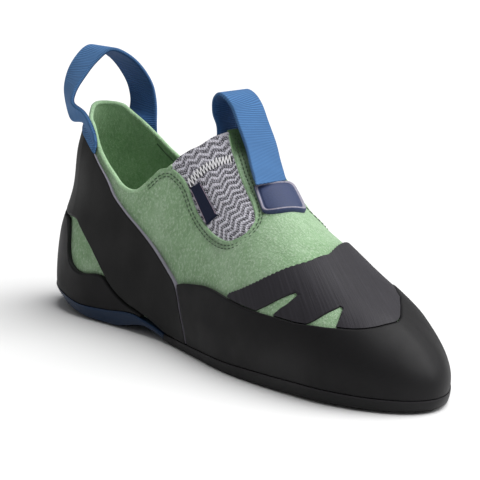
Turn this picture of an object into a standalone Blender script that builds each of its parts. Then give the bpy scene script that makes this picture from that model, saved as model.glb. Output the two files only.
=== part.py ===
# Left climbing slipper with knit gores, a heel sling, a toe patch and two webbing pull loops.
#
# Metres, +Z up. +X points to the toe and -Y is the medial side. The origin is the middle of the
# flat spot under the heel, and z = 0 is the plane that the heel and the forefoot stand on.
# Every piece of the upper is a sheet of one surface, rib(), whose ribs run from the feather edge
# (girth 0) up to the ridge line (girth 1). A station says which rib: 0 is the heel's back,
# -1 and 1 are both the toe tip, and negative stations are medial. Tables name a rib by the
# place where it starts, as a share of LENGTH.

import bpy
import numpy as np

# Driving dimensions
LENGTH = 0.250
BALL_WIDTH = 0.090
INSTEP_HEIGHT = 0.083
HEEL_HEIGHT = 0.091
UPPER_WALL = 0.0018
KNIT_WALL = 0.0012
KNIT_RECESS = 0.0004
RUBBER_THICKNESS = 0.0020
PATCH_THICKNESS = 0.0016
SOLE_THICKNESS = 0.0045
HEEL_SOLE_THICKNESS = 0.0055
SOLE_LEDGE = 0.0004
INSOLE_THICKNESS = 0.0030
WEBBING_WIDTH = 0.0165
WEBBING_THICKNESS = 0.0018
BADGE_THICKNESS = 0.0016
LABEL_THICKNESS = 0.0008
CLEARANCE = 0.0003

# Places along the shoe, shares of LENGTH: where the ribs fan round heel and toe, where heel sole
# and outsole meet, and the middle of the heel's flat spot
HEEL_FAN = 0.12
TOE_FAN = 0.84
SOLE_SPLIT = 0.405
HEEL_FLAT = 0.18

# Outline of the upper on plan: shares of LENGTH and BALL_WIDTH
OUTLINE = (
    ("x", "medial", "lateral"),
    (0.015, 0.000, 0.000),
    (0.042, -0.155, 0.163),
    (0.104, -0.260, 0.268),
    (0.180, -0.294, 0.315),
    (0.290, -0.288, 0.352),
    (0.400, -0.298, 0.393),
    (0.520, -0.378, 0.444),
    (0.630, -0.447, 0.447),
    (0.720, -0.470, 0.388),
    (0.820, -0.472, 0.262),
    (0.910, -0.428, 0.105),
    (0.970, -0.342, -0.040),
    (1.000, -0.205, -0.205),
)
# Ridge line: shares of LENGTH, INSTEP_HEIGHT and BALL_WIDTH
RIDGE = (
    ("x", "height", "y"),
    (0.00, 1.310, 0.000),
    (0.12, 1.290, 0.000),
    (0.30, 1.215, 0.020),
    (0.42, 1.120, 0.045),
    (0.48, 0.988, 0.035),
    (0.56, 0.842, -0.025),
    (0.66, 0.690, -0.100),
    (0.76, 0.538, -0.160),
    (0.86, 0.424, -0.195),
    (0.95, 0.352, -0.218),
    (1.00, 0.315, -0.222),
)
# Rib shape: feather edge, tuck under the widest line, that line's height over the feather and
# pinch over the heel cup as shares of HEEL_HEIGHT, and how full the medial and lateral rib are
SECTION = (
    ("x", "feather", "tuck", "widest", "pinch", "medial", "lateral"),
    (0.00, 0.128, 0.020, 0.242, 0.026, 1.27, 1.27),
    (0.10, 0.098, 0.010, 0.242, 0.018, 1.33, 1.36),
    (0.18, 0.070, 0.010, 0.242, 0.008, 1.62, 1.62),
    (0.24, 0.076, 0.014, 0.220, 0.003, 1.82, 1.78),
    (0.31, 0.092, 0.016, 0.198, 0.000, 1.88, 1.78),
    (0.36, 0.070, 0.016, 0.198, 0.000, 1.90, 1.76),
    (0.42, 0.042, 0.016, 0.176, 0.000, 1.89, 1.74),
    (0.50, 0.046, 0.014, 0.165, 0.000, 1.84, 1.66),
    (0.60, 0.051, 0.014, 0.154, 0.000, 1.88, 1.58),
    (0.72, 0.062, 0.016, 0.154, 0.000, 2.05, 1.70),
    (0.84, 0.067, 0.016, 0.154, 0.000, 2.38, 1.95),
    (0.93, 0.065, 0.016, 0.154, 0.000, 2.50, 1.95),
    (1.00, 0.063, 0.016, 0.154, 0.000, 2.40, 2.20),
)
# Girth at which the ribs end in the collar; past the last row they meet on the ridge
RIM = (
    ("x", "medial", "lateral"),
    (0.015, 0.680, 0.680),
    (0.049, 0.666, 0.678),
    (0.084, 0.643, 0.673),
    (0.117, 0.625, 0.652),
    (0.131, 0.609, 0.625),
    (0.148, 0.575, 0.591),
    (0.167, 0.533, 0.548),
    (0.194, 0.483, 0.486),
    (0.225, 0.435, 0.430),
    (0.254, 0.397, 0.394),
    (0.281, 0.385, 0.384),
    (0.301, 0.395, 0.392),
    (0.317, 0.423, 0.414),
    (0.332, 0.457, 0.441),
    (0.344, 0.487, 0.464),
    (0.364, 0.512, 0.495),
    (0.382, 0.575, 0.545),
    (0.399, 0.625, 0.585),
    (0.421, 0.703, 0.640),
    (0.435, 0.804, 0.690),
    (0.444, 0.894, 0.770),
    (0.449, 1.000, 1.000),
)
THROAT = RIM[-1][0]
# Middle and reach of the pinch, shares of HEEL_HEIGHT
PINCH_HEIGHT = 0.58
PINCH_REACH = 0.22
# Underside of the soles: height of the middle, lift of the edge and how far its lower edge is
# drawn in as shares of HEEL_HEIGHT, and how much of its full thickness a sole has in the middle
UNDERSIDE = (
    ("x", "middle", "lift", "drawn_in", "thickness"),
    (0.000, 0.034, 0.058, 0.050, 0.80),
    (0.045, 0.012, 0.058, 0.046, 0.90),
    (0.090, 0.000, 0.046, 0.034, 1.00),
    (0.180, 0.000, 0.016, 0.014, 1.00),
    (0.260, 0.000, 0.010, 0.008, 1.00),
    (0.300, 0.020, 0.008, 0.004, 0.70),
    (0.344, 0.042, 0.006, 0.000, 0.42),
    (0.375, 0.032, 0.005, 0.000, 0.43),
    (0.410, 0.010, 0.005, 0.000, 0.55),
    (0.440, 0.000, 0.005, 0.004, 0.60),
    (0.600, 0.000, 0.004, 0.006, 0.85),
    (0.720, 0.000, 0.006, 0.006, 1.00),
    (0.800, 0.000, 0.011, 0.008, 1.00),
    (0.950, 0.000, 0.014, 0.010, 1.00),
    (1.000, 0.004, 0.014, 0.010, 1.00),
)
FLAT_SHARE = 0.5
CUP_POWER = 4
DRAWN_IN_POWER = 8
# Heel sling from its point on the arch to the middle of the heel: front and back edge
SLING = (
    ("x_front", "front", "x_back", "back"),
    (0.484, 0.000, 0.440, 0.000),
    (0.478, 0.060, 0.420, 0.000),
    (0.462, 0.125, 0.400, 0.000),
    (0.442, 0.180, 0.378, 0.004),
    (0.414, 0.204, 0.356, 0.010),
    (0.387, 0.224, 0.332, 0.015),
    (0.351, 0.253, 0.308, 0.024),
    (0.319, 0.279, 0.286, 0.043),
    (0.279, 0.317, 0.263, 0.073),
    (0.247, 0.357, 0.241, 0.114),
    (0.224, 0.403, 0.217, 0.166),
    (0.188, 0.464, 0.188, 0.225),
    (0.160, 0.510, 0.160, 0.272),
    (0.120, 0.556, 0.130, 0.307),
    (0.070, 0.584, 0.075, 0.320),
    (0.015, 0.596, 0.015, 0.324),
)
# Top edge of the lower heel rubber, under the heel window and the sling's back edge
HEEL_RUBBER = (
    ("x", "girth"),
    (0.015, 0.317),
    (0.075, 0.313),
    (0.104, 0.302),
    (0.118, 0.262),
    (0.124, 0.210),
    (0.132, 0.176),
    (0.147, 0.150),
    (0.169, 0.132),
    (0.215, 0.120),
    (0.236, 0.108),
    (0.251, 0.084),
    (0.275, 0.048),
    (0.305, 0.019),
    (0.335, 0.009),
)
# Top edge of the toe rand, and rear edge of the toe patch
RAND_TOP = (
    ("x", "medial", "lateral"),
    (0.442, 0.180, 0.180),
    (0.464, 0.206, 0.206),
    (0.503, 0.240, 0.238),
    (0.533, 0.263, 0.262),
    (0.562, 0.277, 0.280),
    (0.618, 0.289, 0.310),
    (0.664, 0.297, 0.345),
    (0.705, 0.317, 0.395),
    (0.739, 0.341, 0.455),
    (0.796, 0.387, 0.585),
    (0.828, 0.439, 0.650),
    (0.868, 0.505, 0.690),
    (0.907, 0.565, 0.708),
    (0.942, 0.635, 0.722),
    (0.978, 0.707, 0.738),
    (1.000, 0.742, 0.742),
)
PATCH_REAR = (
    ("x", "medial", "lateral"),
    (0.575, 0.285, 0.300),
    (0.612, 0.296, 0.410),
    (0.649, 0.383, 0.545),
    (0.679, 0.473, 0.665),
    (0.712, 0.631, 0.818),
    (0.728, 0.745, 0.905),
    (0.736, 0.830, 0.960),
    (0.738, 1.000, 1.000),
)
PATCH_CLOSED = PATCH_REAR[-1][0]
PATCH_START = {"medial": 0.612, "lateral": 0.575}
# Two openings in the toe patch, from the rand up to their tips: rear and front edge
FIN_REAR = (
    ("x_rear", "rear", "x_front", "front"),
    (0.688, 0.275, 0.722, 0.280),
    (0.704, 0.322, 0.733, 0.343),
    (0.722, 0.385, 0.744, 0.405),
    (0.742, 0.479, 0.756, 0.470),
    (0.757, 0.563, 0.765, 0.560),
)
FIN_FRONT = (
    ("x_rear", "rear", "x_front", "front"),
    (0.812, 0.385, 0.866, 0.460),
    (0.822, 0.435, 0.866, 0.520),
    (0.829, 0.503, 0.865, 0.590),
    (0.837, 0.611, 0.862, 0.660),
    (0.844, 0.725, 0.857, 0.718),
)
# Knit gore from its round tip to the rim: lower and upper edge, with the girth of the upper edge
# on each side
GORE = (
    ("x_low", "low", "x_up", "medial", "lateral"),
    (0.599, 0.672, 0.599, 0.690, 0.688),
    (0.595, 0.601, 0.592, 0.723, 0.704),
    (0.577, 0.529, 0.573, 0.754, 0.708),
    (0.557, 0.487, 0.543, 0.774, 0.710),
    (0.530, 0.463, 0.513, 0.792, 0.705),
    (0.492, 0.452, 0.493, 0.814, 0.702),
    (0.453, 0.459, 0.467, 0.848, 0.702),
    (0.411, 0.503, 0.452, 0.882, 0.708),
    (0.366, 0.515, 0.444, 0.905, 0.720),
)
# Side label on the medial gore: its two long edges
LABEL = (
    ("x_low", "low", "x_up", "up"),
    (0.429, 0.502, 0.446, 0.560),
    (0.460, 0.480, 0.478, 0.545),
    (0.493, 0.465, 0.511, 0.536),
)
# Instep badge on plan, from its medial to its lateral end: where its rear and its front edge are
BADGE = (
    ("across", "x_rear", "y_rear", "x_front", "y_front"),
    (0.00, 0.546, -0.113, 0.597, -0.180),
    (0.50, 0.567, -0.010, 0.636, -0.090),
    (1.00, 0.546, 0.115, 0.630, 0.013),
)
# Centre line of the front pull loop, from the badge over the throat and down inside the tongue
FRONT_LOOP = (
    ("x", "y", "z"),
    (0.556, -0.034, 0.878),
    (0.536, -0.004, 0.918),
    (0.504, 0.044, 0.998),
    (0.474, 0.066, 1.100),
    (0.458, 0.072, 1.170),
    (0.444, 0.062, 1.222),
    (0.429, 0.058, 1.238),
    (0.415, 0.060, 1.205),
    (0.413, 0.062, 1.140),
    (0.421, 0.066, 1.085),
    (0.430, 0.050, 1.020),
    (0.440, 0.035, 0.955),
)
# Heel pull loop between its two ends: centre line as shares of LENGTH, BALL_WIDTH and
# HEEL_HEIGHT, and in degrees how its width is turned on plan and rises to the front
HEEL_LOOP = (
    ("x", "y", "z", "turn", "rise"),
    (0.102, -0.146, 0.926, -15, 16),
    (0.080, -0.156, 0.983, -29, 12),
    (0.072, -0.140, 1.046, -22, 4),
    (0.068, -0.095, 1.117, -12, 0),
    (0.068, -0.029, 1.190, -4, 0),
    (0.073, 0.050, 1.240, 0, 0),
    (0.084, 0.141, 1.196, 2, 0),
    (0.095, 0.205, 1.115, 4, 0),
    (0.104, 0.234, 1.032, 4, 0),
    (0.113, 0.226, 0.970, 4, 0),
    (0.120, 0.206, 0.920, 8, 0),
)
# Its two ends on the collar, above the sling: station of the middle, and how much girth it covers
LOOP_FEET = (
    ("station", "girth"),
    (-0.205, 0.030),
    (0.222, 0.030),
)
LOOP_SLACK = 0.0005

# Rows and columns of the sheets
RIBS_PER_SIDE = 26
UPPER_ROWS = 13
LEAST_RIB_STEP = 0.004
SHEET_ROWS = 6
RAND_ROWS = 6
PATCH_ROWS = 9
PATCH_REAR_COLUMNS = 14
PATCH_TOE_COLUMNS = 16
BAND_COLUMNS = 71
BAND_ROWS = 6
HEEL_COLUMNS = 47
GORE_COLUMNS = 12
GORE_ROWS = 8
LOOP_COLUMNS = 34
LOOP_LANES = 5
BADGE_COLUMNS = 5
BADGE_ROWS = 8
HEEL_SOLE_RIBS = 19
OUTSOLE_RIBS = 22
INSOLE_RIBS = 22
SOLE_ROWS = (0.0, 0.25, 0.5, 0.75, 0.92, 1.0)
INSOLE_ROWS = (0.0, 0.3, 0.6, 0.85, 1.0)
CUTTER_MARGIN = 0.0025

OBJECT = "climbing_shoe"
CUTTERS = "cutters"
MATERIALS = {
    "suede": ((0.36, 0.62, 0.33), 0.95),
    "knit": ((0.42, 0.40, 0.47), 0.95),
    "rubber": ((0.012, 0.012, 0.013), 0.60),
    "patch_rubber": ((0.045, 0.042, 0.050), 0.70),
    "blue_rubber": ((0.010, 0.025, 0.060), 0.55),
    "webbing": ((0.06, 0.16, 0.38), 0.85),
    "badge": ((0.09, 0.12, 0.25), 0.60),
    "label": ((0.02, 0.025, 0.05), 0.80),
    "lining": ((0.20, 0.32, 0.19), 0.95),
}
SIDES = {-1: "medial", 1: "lateral"}


def column(table, name):
    return np.array([row[table[0].index(name)] for row in table[1:]], float)


def smooth(at, value, x):
    """Value at x of a curve through points, which is level at its peaks."""
    step = np.diff(at)
    rise = np.diff(value) / step
    slope = np.concatenate([rise[:1], np.zeros(len(at) - 2), rise[-1:]])
    both = rise[:-1] * rise[1:] > 0
    mean = (rise[:-1] * step[1:] + rise[1:] * step[:-1]) / (step[1:] + step[:-1])
    slope[1:-1][both] = mean[both]
    x = np.clip(x, at[0], at[-1])
    k = np.clip(np.searchsorted(at, x, side="right") - 1, 0, len(at) - 2)
    h = at[k + 1] - at[k]
    u = (x - at[k]) / h
    start = (2 * u**3 - 3 * u**2 + 1) * value[k] + (u**3 - 2 * u**2 + u) * h * slope[k]
    end = (3 * u**2 - 2 * u**3) * value[k + 1] + (u**3 - u**2) * h * slope[k + 1]
    return start + end


def curve(table, name, x):
    """A table's column at x, which is the table's first column."""
    return smooth(column(table, "x"), column(table, name), x)


def station(x, side):
    """Station of the rib that starts at x on side -1 or 1."""
    low, high = OUTLINE[1][0], OUTLINE[-1][0]
    share = np.clip((np.asarray(x, float) - low) / (high - low), 0, 1)
    return side * np.arccos(1 - 2 * share) / np.pi


def start_of(stations):
    """Where the ribs start, a share of LENGTH."""
    low, high = OUTLINE[1][0], OUTLINE[-1][0]
    return low + (high - low) * (1 - np.cos(np.pi * np.abs(stations))) / 2


def outline_y(stations):
    """How far out on plan the ribs start, a share of BALL_WIDTH."""
    at = station(column(OUTLINE, "x"), 1)
    medial = smooth(at, column(OUTLINE, "medial"), np.abs(stations))
    lateral = smooth(at, column(OUTLINE, "lateral"), np.abs(stations))
    return np.where(stations < 0, medial, lateral)


def spine(stations):
    """Point on plan under the ridge that each rib runs to."""
    x = np.clip(start_of(stations), HEEL_FAN, TOE_FAN)
    return np.stack([x * LENGTH, curve(RIDGE, "y", x) * BALL_WIDTH], -1)


def rib(stations, girth, out=0.0):
    """Points of the upper's surface, or of the same surface a distance further out."""
    stations, girth = np.broadcast_arrays(np.asarray(stations, float), np.asarray(girth, float))
    x = start_of(stations)
    foot = np.stack([x * LENGTH, outline_y(stations) * BALL_WIDTH], -1)
    top = spine(stations)
    reach = np.linalg.norm(top - foot, axis=-1)
    way = (top - foot) / reach[..., None]
    lateral = np.clip((foot[..., 1] - top[..., 1]) / (0.13 * BALL_WIDTH) + 0.5, 0, 1)
    lateral = lateral * lateral * (3 - 2 * lateral)
    fullness = curve(SECTION, "medial", x) * (1 - lateral) + curve(SECTION, "lateral", x) * lateral
    feather = curve(SECTION, "feather", x) * HEEL_HEIGHT
    tuck = curve(SECTION, "tuck", x) * HEEL_HEIGHT
    widest = curve(SECTION, "widest", x) * HEEL_HEIGHT
    pinch = curve(SECTION, "pinch", x) * HEEL_HEIGHT
    up = np.sin(girth * np.pi / 2) ** (2 / fullness)
    inward = 1 - np.cos(girth * np.pi / 2) ** (2 / fullness)
    ridge = curve(RIDGE, "height", x) * INSTEP_HEIGHT + out
    for _ in range(3):
        z = feather + (ridge - feather) * up
        under = np.clip(1 - (z - feather) / widest, 0, 1) ** 2
        waist = np.clip(1 - np.abs(z / HEEL_HEIGHT - PINCH_HEIGHT) / PINCH_REACH, 0, 1)
        waist = waist * waist * (3 - 2 * waist)
        inset = tuck * under + pinch * waist
        plan = foot + way * ((reach + out) * inward - out + inset)[..., None]
        ridge = curve(RIDGE, "height", plan[..., 0] / LENGTH) * INSTEP_HEIGHT + out
    z = feather + (ridge - feather) * up
    return np.concatenate([plan, z[..., None]], -1)


def girth_over(x, y):
    """Station and girth of the points of the upper over a place on plan, x a share of LENGTH."""
    away = y * BALL_WIDTH - curve(RIDGE, "y", x) * BALL_WIDTH
    stations = station(x, 1) * np.where(away < 0, -1, 1)
    samples = np.linspace(1, 0, 120)
    girths = []
    for at, reach in zip(stations, np.abs(away)):
        points = rib(np.full(len(samples), at), samples)
        distance = np.linalg.norm(points[:, :2] - points[0, :2], axis=1)
        girths.append(np.interp(reach, distance, samples))
    return stations, np.array(girths)


def girth_step(stations, girth, distance):
    """Change of girth along each rib that goes with a distance on the surface."""
    half = 0.005
    ends = rib(stations, girth + half) - rib(stations, np.maximum(girth - half, 0))
    return distance * 2 * half / np.linalg.norm(ends, axis=-1)


def rim_girth(stations):
    """Girth at which the ribs end in the collar, or 1 where they meet on the ridge."""
    x = start_of(stations)
    rim = np.where(stations < 0, curve(RIM, "medial", x), curve(RIM, "lateral", x))
    return np.where(x > THROAT - 1e-6, 1.0, rim)


def round_heel(shares):
    """Stations from medial, round the heel, to lateral, for rising shares."""
    return np.concatenate([station(shares[::-1], -1), station(shares[1:], 1)])


def round_toe(shares):
    """Stations from medial, round the toe, to lateral, for rising shares."""
    return np.concatenate([station(shares, -1), station(shares[::-1], 1)])


def spread(first, last, count):
    """Shares from first to last, closer together where the outline turns."""
    return start_of(np.linspace(station(first, 1), station(last, 1), count))


def even_columns(low, high, count):
    """Two edges, each a pair of stations and girths, stepped evenly along the middle between."""
    middle = (rib(*low) + rib(*high)) / 2
    at = np.concatenate([[0.0], np.cumsum(np.linalg.norm(np.diff(middle, axis=0), axis=1))])
    even = np.linspace(0, at[-1], count)
    return [tuple(smooth(at, values, even) for values in edge) for edge in (low, high)]


def between(low, high, rows):
    """Stations and girths of a grid between two edges, each a pair of arrays."""
    share = np.linspace(0, 1, rows + 1)[None, :]
    return [a[:, None] * (1 - share) + b[:, None] * share for a, b in zip(low, high)]


def shell_mesh(name, inner, outer):
    """Closed mesh of two grids of points, welded where the outer grid meets itself."""
    columns, rows = outer.shape[:2]
    keys = {}
    index = np.zeros((columns, rows), int)
    for i in range(columns):
        for j in range(rows):
            index[i, j] = keys.setdefault(tuple(np.round(outer[i, j], 6)), len(keys))
    points = np.zeros((2 * len(keys), 3))
    points[index.ravel()] = outer.reshape(-1, 3)
    points[index.ravel() + len(keys)] = inner.reshape(-1, 3)
    fronts = []
    for i in range(columns - 1):
        for j in range(rows - 1):
            corners = [index[i, j], index[i + 1, j], index[i + 1, j + 1], index[i, j + 1]]
            corners = [c for n, c in enumerate(corners) if c != corners[n - 1]]
            if len(corners) > 2:
                fronts.append(corners)
    edges = {(face[n - 1], corner) for face in fronts for n, corner in enumerate(face)}
    backs = [[c + len(keys) for c in reversed(face)] for face in fronts]
    walls = [(b, a, a + len(keys), b + len(keys)) for a, b in sorted(edges) if (b, a) not in edges]
    mesh = bpy.data.meshes.new(name)
    mesh.from_pydata(points.tolist(), [], fronts + backs + walls)
    return mesh


def face_out(mesh):
    """Turns the mesh round if its faces point inwards."""
    mesh.calc_loop_triangles()
    corners = np.array([[mesh.vertices[v].co for v in tri.vertices] for tri in mesh.loop_triangles])
    if np.linalg.det(corners - corners.mean(axis=(0, 1))).sum() < 0:
        mesh.flip_normals()


def material_for(name):
    if name in bpy.data.materials:
        return bpy.data.materials[name]
    colour, roughness = MATERIALS[name]
    material = bpy.data.materials.new(name)
    material.use_nodes = True
    shader = material.node_tree.nodes["Principled BSDF"]
    shader.inputs["Base Color"].default_value = (*colour, 1.0)
    shader.inputs["Roughness"].default_value = roughness
    shader.inputs["Metallic"].default_value = 0.0
    material.diffuse_color = (*colour, 1.0)
    return material


def add_object(name, material, inner, outer, collection=OBJECT):
    """Solid between two grids, moved so that the heel's flat spot is at the origin."""
    heel_flat = np.array([HEEL_FLAT * LENGTH, 0.0, 0.0])
    mesh = shell_mesh(name, inner - heel_flat, outer - heel_flat)
    face_out(mesh)
    mesh.shade_smooth()
    mesh.set_sharp_from_angle(angle=np.radians(40))
    mesh.materials.append(material_for(material))
    thing = bpy.data.objects.new(name, mesh)
    bpy.data.collections[collection].objects.link(thing)
    return thing


def add_sheet(name, material, grid, inner, outer, collection=OBJECT):
    """Solid of a grid of stations and girths, from one distance off the upper to another."""
    return add_object(name, material, rib(*grid, inner), rib(*grid, outer), collection)


def cut(thing, cutter):
    cutter.hide_render = True
    cutter.display_type = "WIRE"
    modifier = thing.modifiers.new(cutter.name, "BOOLEAN")
    modifier.operation = "DIFFERENCE"
    modifier.solver = "EXACT"
    modifier.object = cutter


def add_upper():
    """Hollow upper, open at the collar and underneath."""
    kept = np.append(column(RIM, "x")[-6:], PATCH_CLOSED)
    shares = spread(OUTLINE[1][0], OUTLINE[-1][0], RIBS_PER_SIDE)
    apart = np.abs(shares[:, None] - kept).min(axis=1) > LEAST_RIB_STEP
    stations = round_heel(np.sort(np.concatenate([shares[apart], kept])))
    grid = between((stations, np.zeros(len(stations))), (stations, rim_girth(stations)), UPPER_ROWS)
    return add_sheet("upper", "suede", grid, -UPPER_WALL, 0.0)


def gore_edges(side, growth):
    """Lower and upper edge of a gore, from its tip to the rim, moved apart by a growth."""
    tip = np.linspace(1, 0, len(GORE) - 1) ** 4 * growth / LENGTH
    low = np.stack([station(column(GORE, "x_low") + tip, side), column(GORE, "low")])
    up = np.stack([station(column(GORE, "x_up") + tip, side), column(GORE, SIDES[side])])
    width = np.linalg.norm(rib(*up) - rib(*low), axis=1)
    step = (up - low) * growth / width
    edges = tuple(low - step), tuple(up + step)
    return [even_columns(edge, edge, GORE_COLUMNS)[0] for edge in edges]


def gore_grid(side, growth):
    """Grid of a gore whose last column lies on the rim."""
    stations, girths = between(*gore_edges(side, growth), GORE_ROWS)
    bend = rim_girth(stations[-1]) - girths[-1]
    return stations, girths + bend * np.linspace(0, 1, GORE_COLUMNS)[:, None] ** 2


def add_gore(side, upper):
    """Knit panel in a U-shaped cut of the upper."""
    name = "gore_" + SIDES[side]
    stations, girths = gore_grid(side, CLEARANCE)
    past_rim = np.vstack([stations, stations[-1:]]), np.vstack([girths, girths[-1:] + 0.05])
    depth = UPPER_WALL + CUTTER_MARGIN
    cut(upper, add_sheet(name + "_cutter", "knit", past_rim, -depth, CUTTER_MARGIN, CUTTERS))
    grid = gore_grid(side, 0.0)
    add_sheet(name, "knit", grid, -KNIT_RECESS - KNIT_WALL, -KNIT_RECESS)


def add_label():
    """Small woven label on the medial gore."""
    low = (station(column(LABEL, "x_low"), -1), column(LABEL, "low"))
    up = (station(column(LABEL, "x_up"), -1), column(LABEL, "up"))
    under = CLEARANCE - KNIT_RECESS
    add_sheet("side_label", "label", between(low, up, 2), under, under + LABEL_THICKNESS)


def add_sling():
    """Rubber band from arch to arch round the heel."""
    edges = []
    for edge in ("back", "front"):
        x, girth = column(SLING, "x_" + edge), column(SLING, edge)
        stations = np.concatenate([station(x, -1), station(x[-2::-1], 1)])
        edges.append((stations, np.concatenate([girth, girth[-2::-1]])))
    grid = between(*even_columns(*edges, BAND_COLUMNS), BAND_ROWS)
    add_sheet("sling_strap", "rubber", grid, CLEARANCE, CLEARANCE + RUBBER_THICKNESS)


def add_heel_rubber():
    """Lower heel rubber with its strip up the heel's back, behind the two windows."""
    stations = round_heel(column(HEEL_RUBBER, "x"))
    top = column(HEEL_RUBBER, "girth")
    top = np.concatenate([top[::-1], top[1:]])
    edges = (stations, np.zeros(len(stations))), (stations, top)
    grid = between(*even_columns(*edges, HEEL_COLUMNS), SHEET_ROWS)
    add_sheet("heel_rubber", "rubber", grid, CLEARANCE, CLEARANCE + RUBBER_THICKNESS)


def rand_girth(stations):
    x = start_of(stations)
    return np.where(stations < 0, curve(RAND_TOP, "medial", x), curve(RAND_TOP, "lateral", x))


def add_rand():
    """Rubber band round the toe, from the sling's front edge to the sling's front edge."""
    beside = 3 * CLEARANCE / LENGTH
    low_at = round_toe(spread(SLING[1][0] + beside, OUTLINE[-1][0], RIBS_PER_SIDE))
    up_at = round_toe(spread(RAND_TOP[1][0] + beside, OUTLINE[-1][0], RIBS_PER_SIDE))
    edges = (low_at, np.zeros(len(low_at))), (up_at, rand_girth(up_at))
    stations, girths = between(*edges, RAND_ROWS)
    fade = np.linspace(1, 0, len(low_at))[:, None] ** 8
    for end, side, weight in ((0, -1, fade), (-1, 1, fade[::-1])):
        beside_sling = np.interp(girths[end], column(SLING, "front"), column(SLING, "x_front"))
        stations = stations + weight * (station(beside_sling + beside, side) - stations[end])
    grid = stations, girths
    add_sheet("toe_rand", "rubber", grid, CLEARANCE, CLEARANCE + RUBBER_THICKNESS)


def patch_columns(side):
    """Lower and upper edge of the toe patch on one side, from its rear corner to the toe."""
    name = SIDES[side]
    x = column(PATCH_REAR, "x")
    x = np.concatenate([[PATCH_START[name]], x[x > PATCH_START[name] + 0.01]])
    stations = station(x, side)
    low = rand_girth(stations)
    low = low + girth_step(stations, low, 2 * CLEARANCE)
    high = np.maximum(curve(PATCH_REAR, name, x), low + girth_step(stations, low, PATCH_THICKNESS))
    rear = even_columns((stations, low), (stations, high), PATCH_REAR_COLUMNS)
    stations = station(spread(PATCH_CLOSED, OUTLINE[-1][0], PATCH_TOE_COLUMNS)[1:], side)
    low = rand_girth(stations)
    low = low + girth_step(stations, low, 2 * CLEARANCE)
    toe = (stations, low), (stations, np.ones(len(stations)))
    return [np.hstack([rear_edge, toe_edge]) for rear_edge, toe_edge in zip(rear, toe)]


def add_patch():
    """Rubber patch over the toes, with two openings on its medial side."""
    sides = patch_columns(-1), patch_columns(1)
    edges = [np.hstack([medial, lateral[:, ::-1]]) for medial, lateral in zip(*sides)]
    grid = between(*edges, PATCH_ROWS)
    patch = add_sheet("toe_patch", "patch_rubber", grid, CLEARANCE, CLEARANCE + PATCH_THICKNESS)
    for table, name in ((FIN_REAR, "fin_rear"), (FIN_FRONT, "fin_front")):
        rear = (station(column(table, "x_rear"), -1), column(table, "rear"))
        front = (station(column(table, "x_front"), -1), column(table, "front"))
        outer = CLEARANCE + PATCH_THICKNESS + CUTTER_MARGIN
        grid = between(rear, front, SHEET_ROWS)
        cut(patch, add_sheet(name, "rubber", grid, -CUTTER_MARGIN, outer, CUTTERS))


def add_badge():
    """Low badge over the foot of the front pull loop."""
    across = np.linspace(0, 1, BADGE_ROWS + 1)
    along = np.linspace(0, 1, BADGE_COLUMNS)[:, None]
    ends = [smooth(column(BADGE, "across"), column(BADGE, name), across) for name in BADGE[0][1:]]
    x = ends[0] * (1 - along) + ends[2] * along
    y = ends[1] * (1 - along) + ends[3] * along
    stations, girths = girth_over(x.ravel(), y.ravel())
    grid = stations.reshape(x.shape), girths.reshape(x.shape)
    add_sheet("instep_badge", "badge", grid, CLEARANCE, CLEARANCE + BADGE_THICKNESS)


def sole_edge(stations):
    """Outer edge of the soles on plan, just proud of the rubber above it."""
    rubber = CLEARANCE + RUBBER_THICKNESS
    return rib(stations, 0.0, rubber + SOLE_LEDGE)[..., :2]


def sole_top(stations, share, thickness):
    """Height of a sole's upper face, share 0 on the spine and 1 at the edge."""
    plan = spine(stations) * (1 - share[..., None]) + sole_edge(stations) * share[..., None]
    x = plan[..., 0] / LENGTH
    middle = curve(UNDERSIDE, "middle", x) * HEEL_HEIGHT
    middle = middle + curve(UNDERSIDE, "thickness", x) * thickness
    edge = curve(SECTION, "feather", start_of(stations)) * HEEL_HEIGHT - CLEARANCE
    return middle + (edge - middle) * share**CUP_POWER


def sole_grids(stations, thickness):
    """Lower and upper grid of a sole."""
    stations, share = np.meshgrid(stations, SOLE_ROWS, indexing="ij")
    plan = spine(stations) * (1 - share[..., None]) + sole_edge(stations) * share[..., None]
    middle = curve(UNDERSIDE, "middle", plan[..., 0] / LENGTH)
    lift = curve(UNDERSIDE, "lift", start_of(stations))
    rise = np.clip((share - FLAT_SHARE) / (1 - FLAT_SHARE), 0, 1) ** 2
    bottom = (middle + lift * rise) * HEEL_HEIGHT
    inward = spine(stations) - sole_edge(stations)
    inward = inward / np.linalg.norm(inward, axis=-1)[..., None]
    drawn_in = curve(UNDERSIDE, "drawn_in", start_of(stations)) * HEEL_HEIGHT
    lower = plan + inward * (drawn_in * share**DRAWN_IN_POWER)[..., None]
    top = sole_top(stations, share, thickness)
    pairs = (lower, bottom), (plan, top)
    return [np.concatenate([place, z[..., None]], -1) for place, z in pairs]


def add_soles():
    """Moulded heel sole as far as the arch, and the outsole from there to the toe."""
    beside = CLEARANCE / LENGTH
    heel = round_heel(spread(OUTLINE[1][0], SOLE_SPLIT, HEEL_SOLE_RIBS))
    add_object("heel_sole", "blue_rubber", *sole_grids(heel, HEEL_SOLE_THICKNESS))
    toe = round_toe(spread(SOLE_SPLIT + beside, OUTLINE[-1][0], OUTSOLE_RIBS))
    add_object("outsole", "rubber", *sole_grids(toe, SOLE_THICKNESS))


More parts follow.
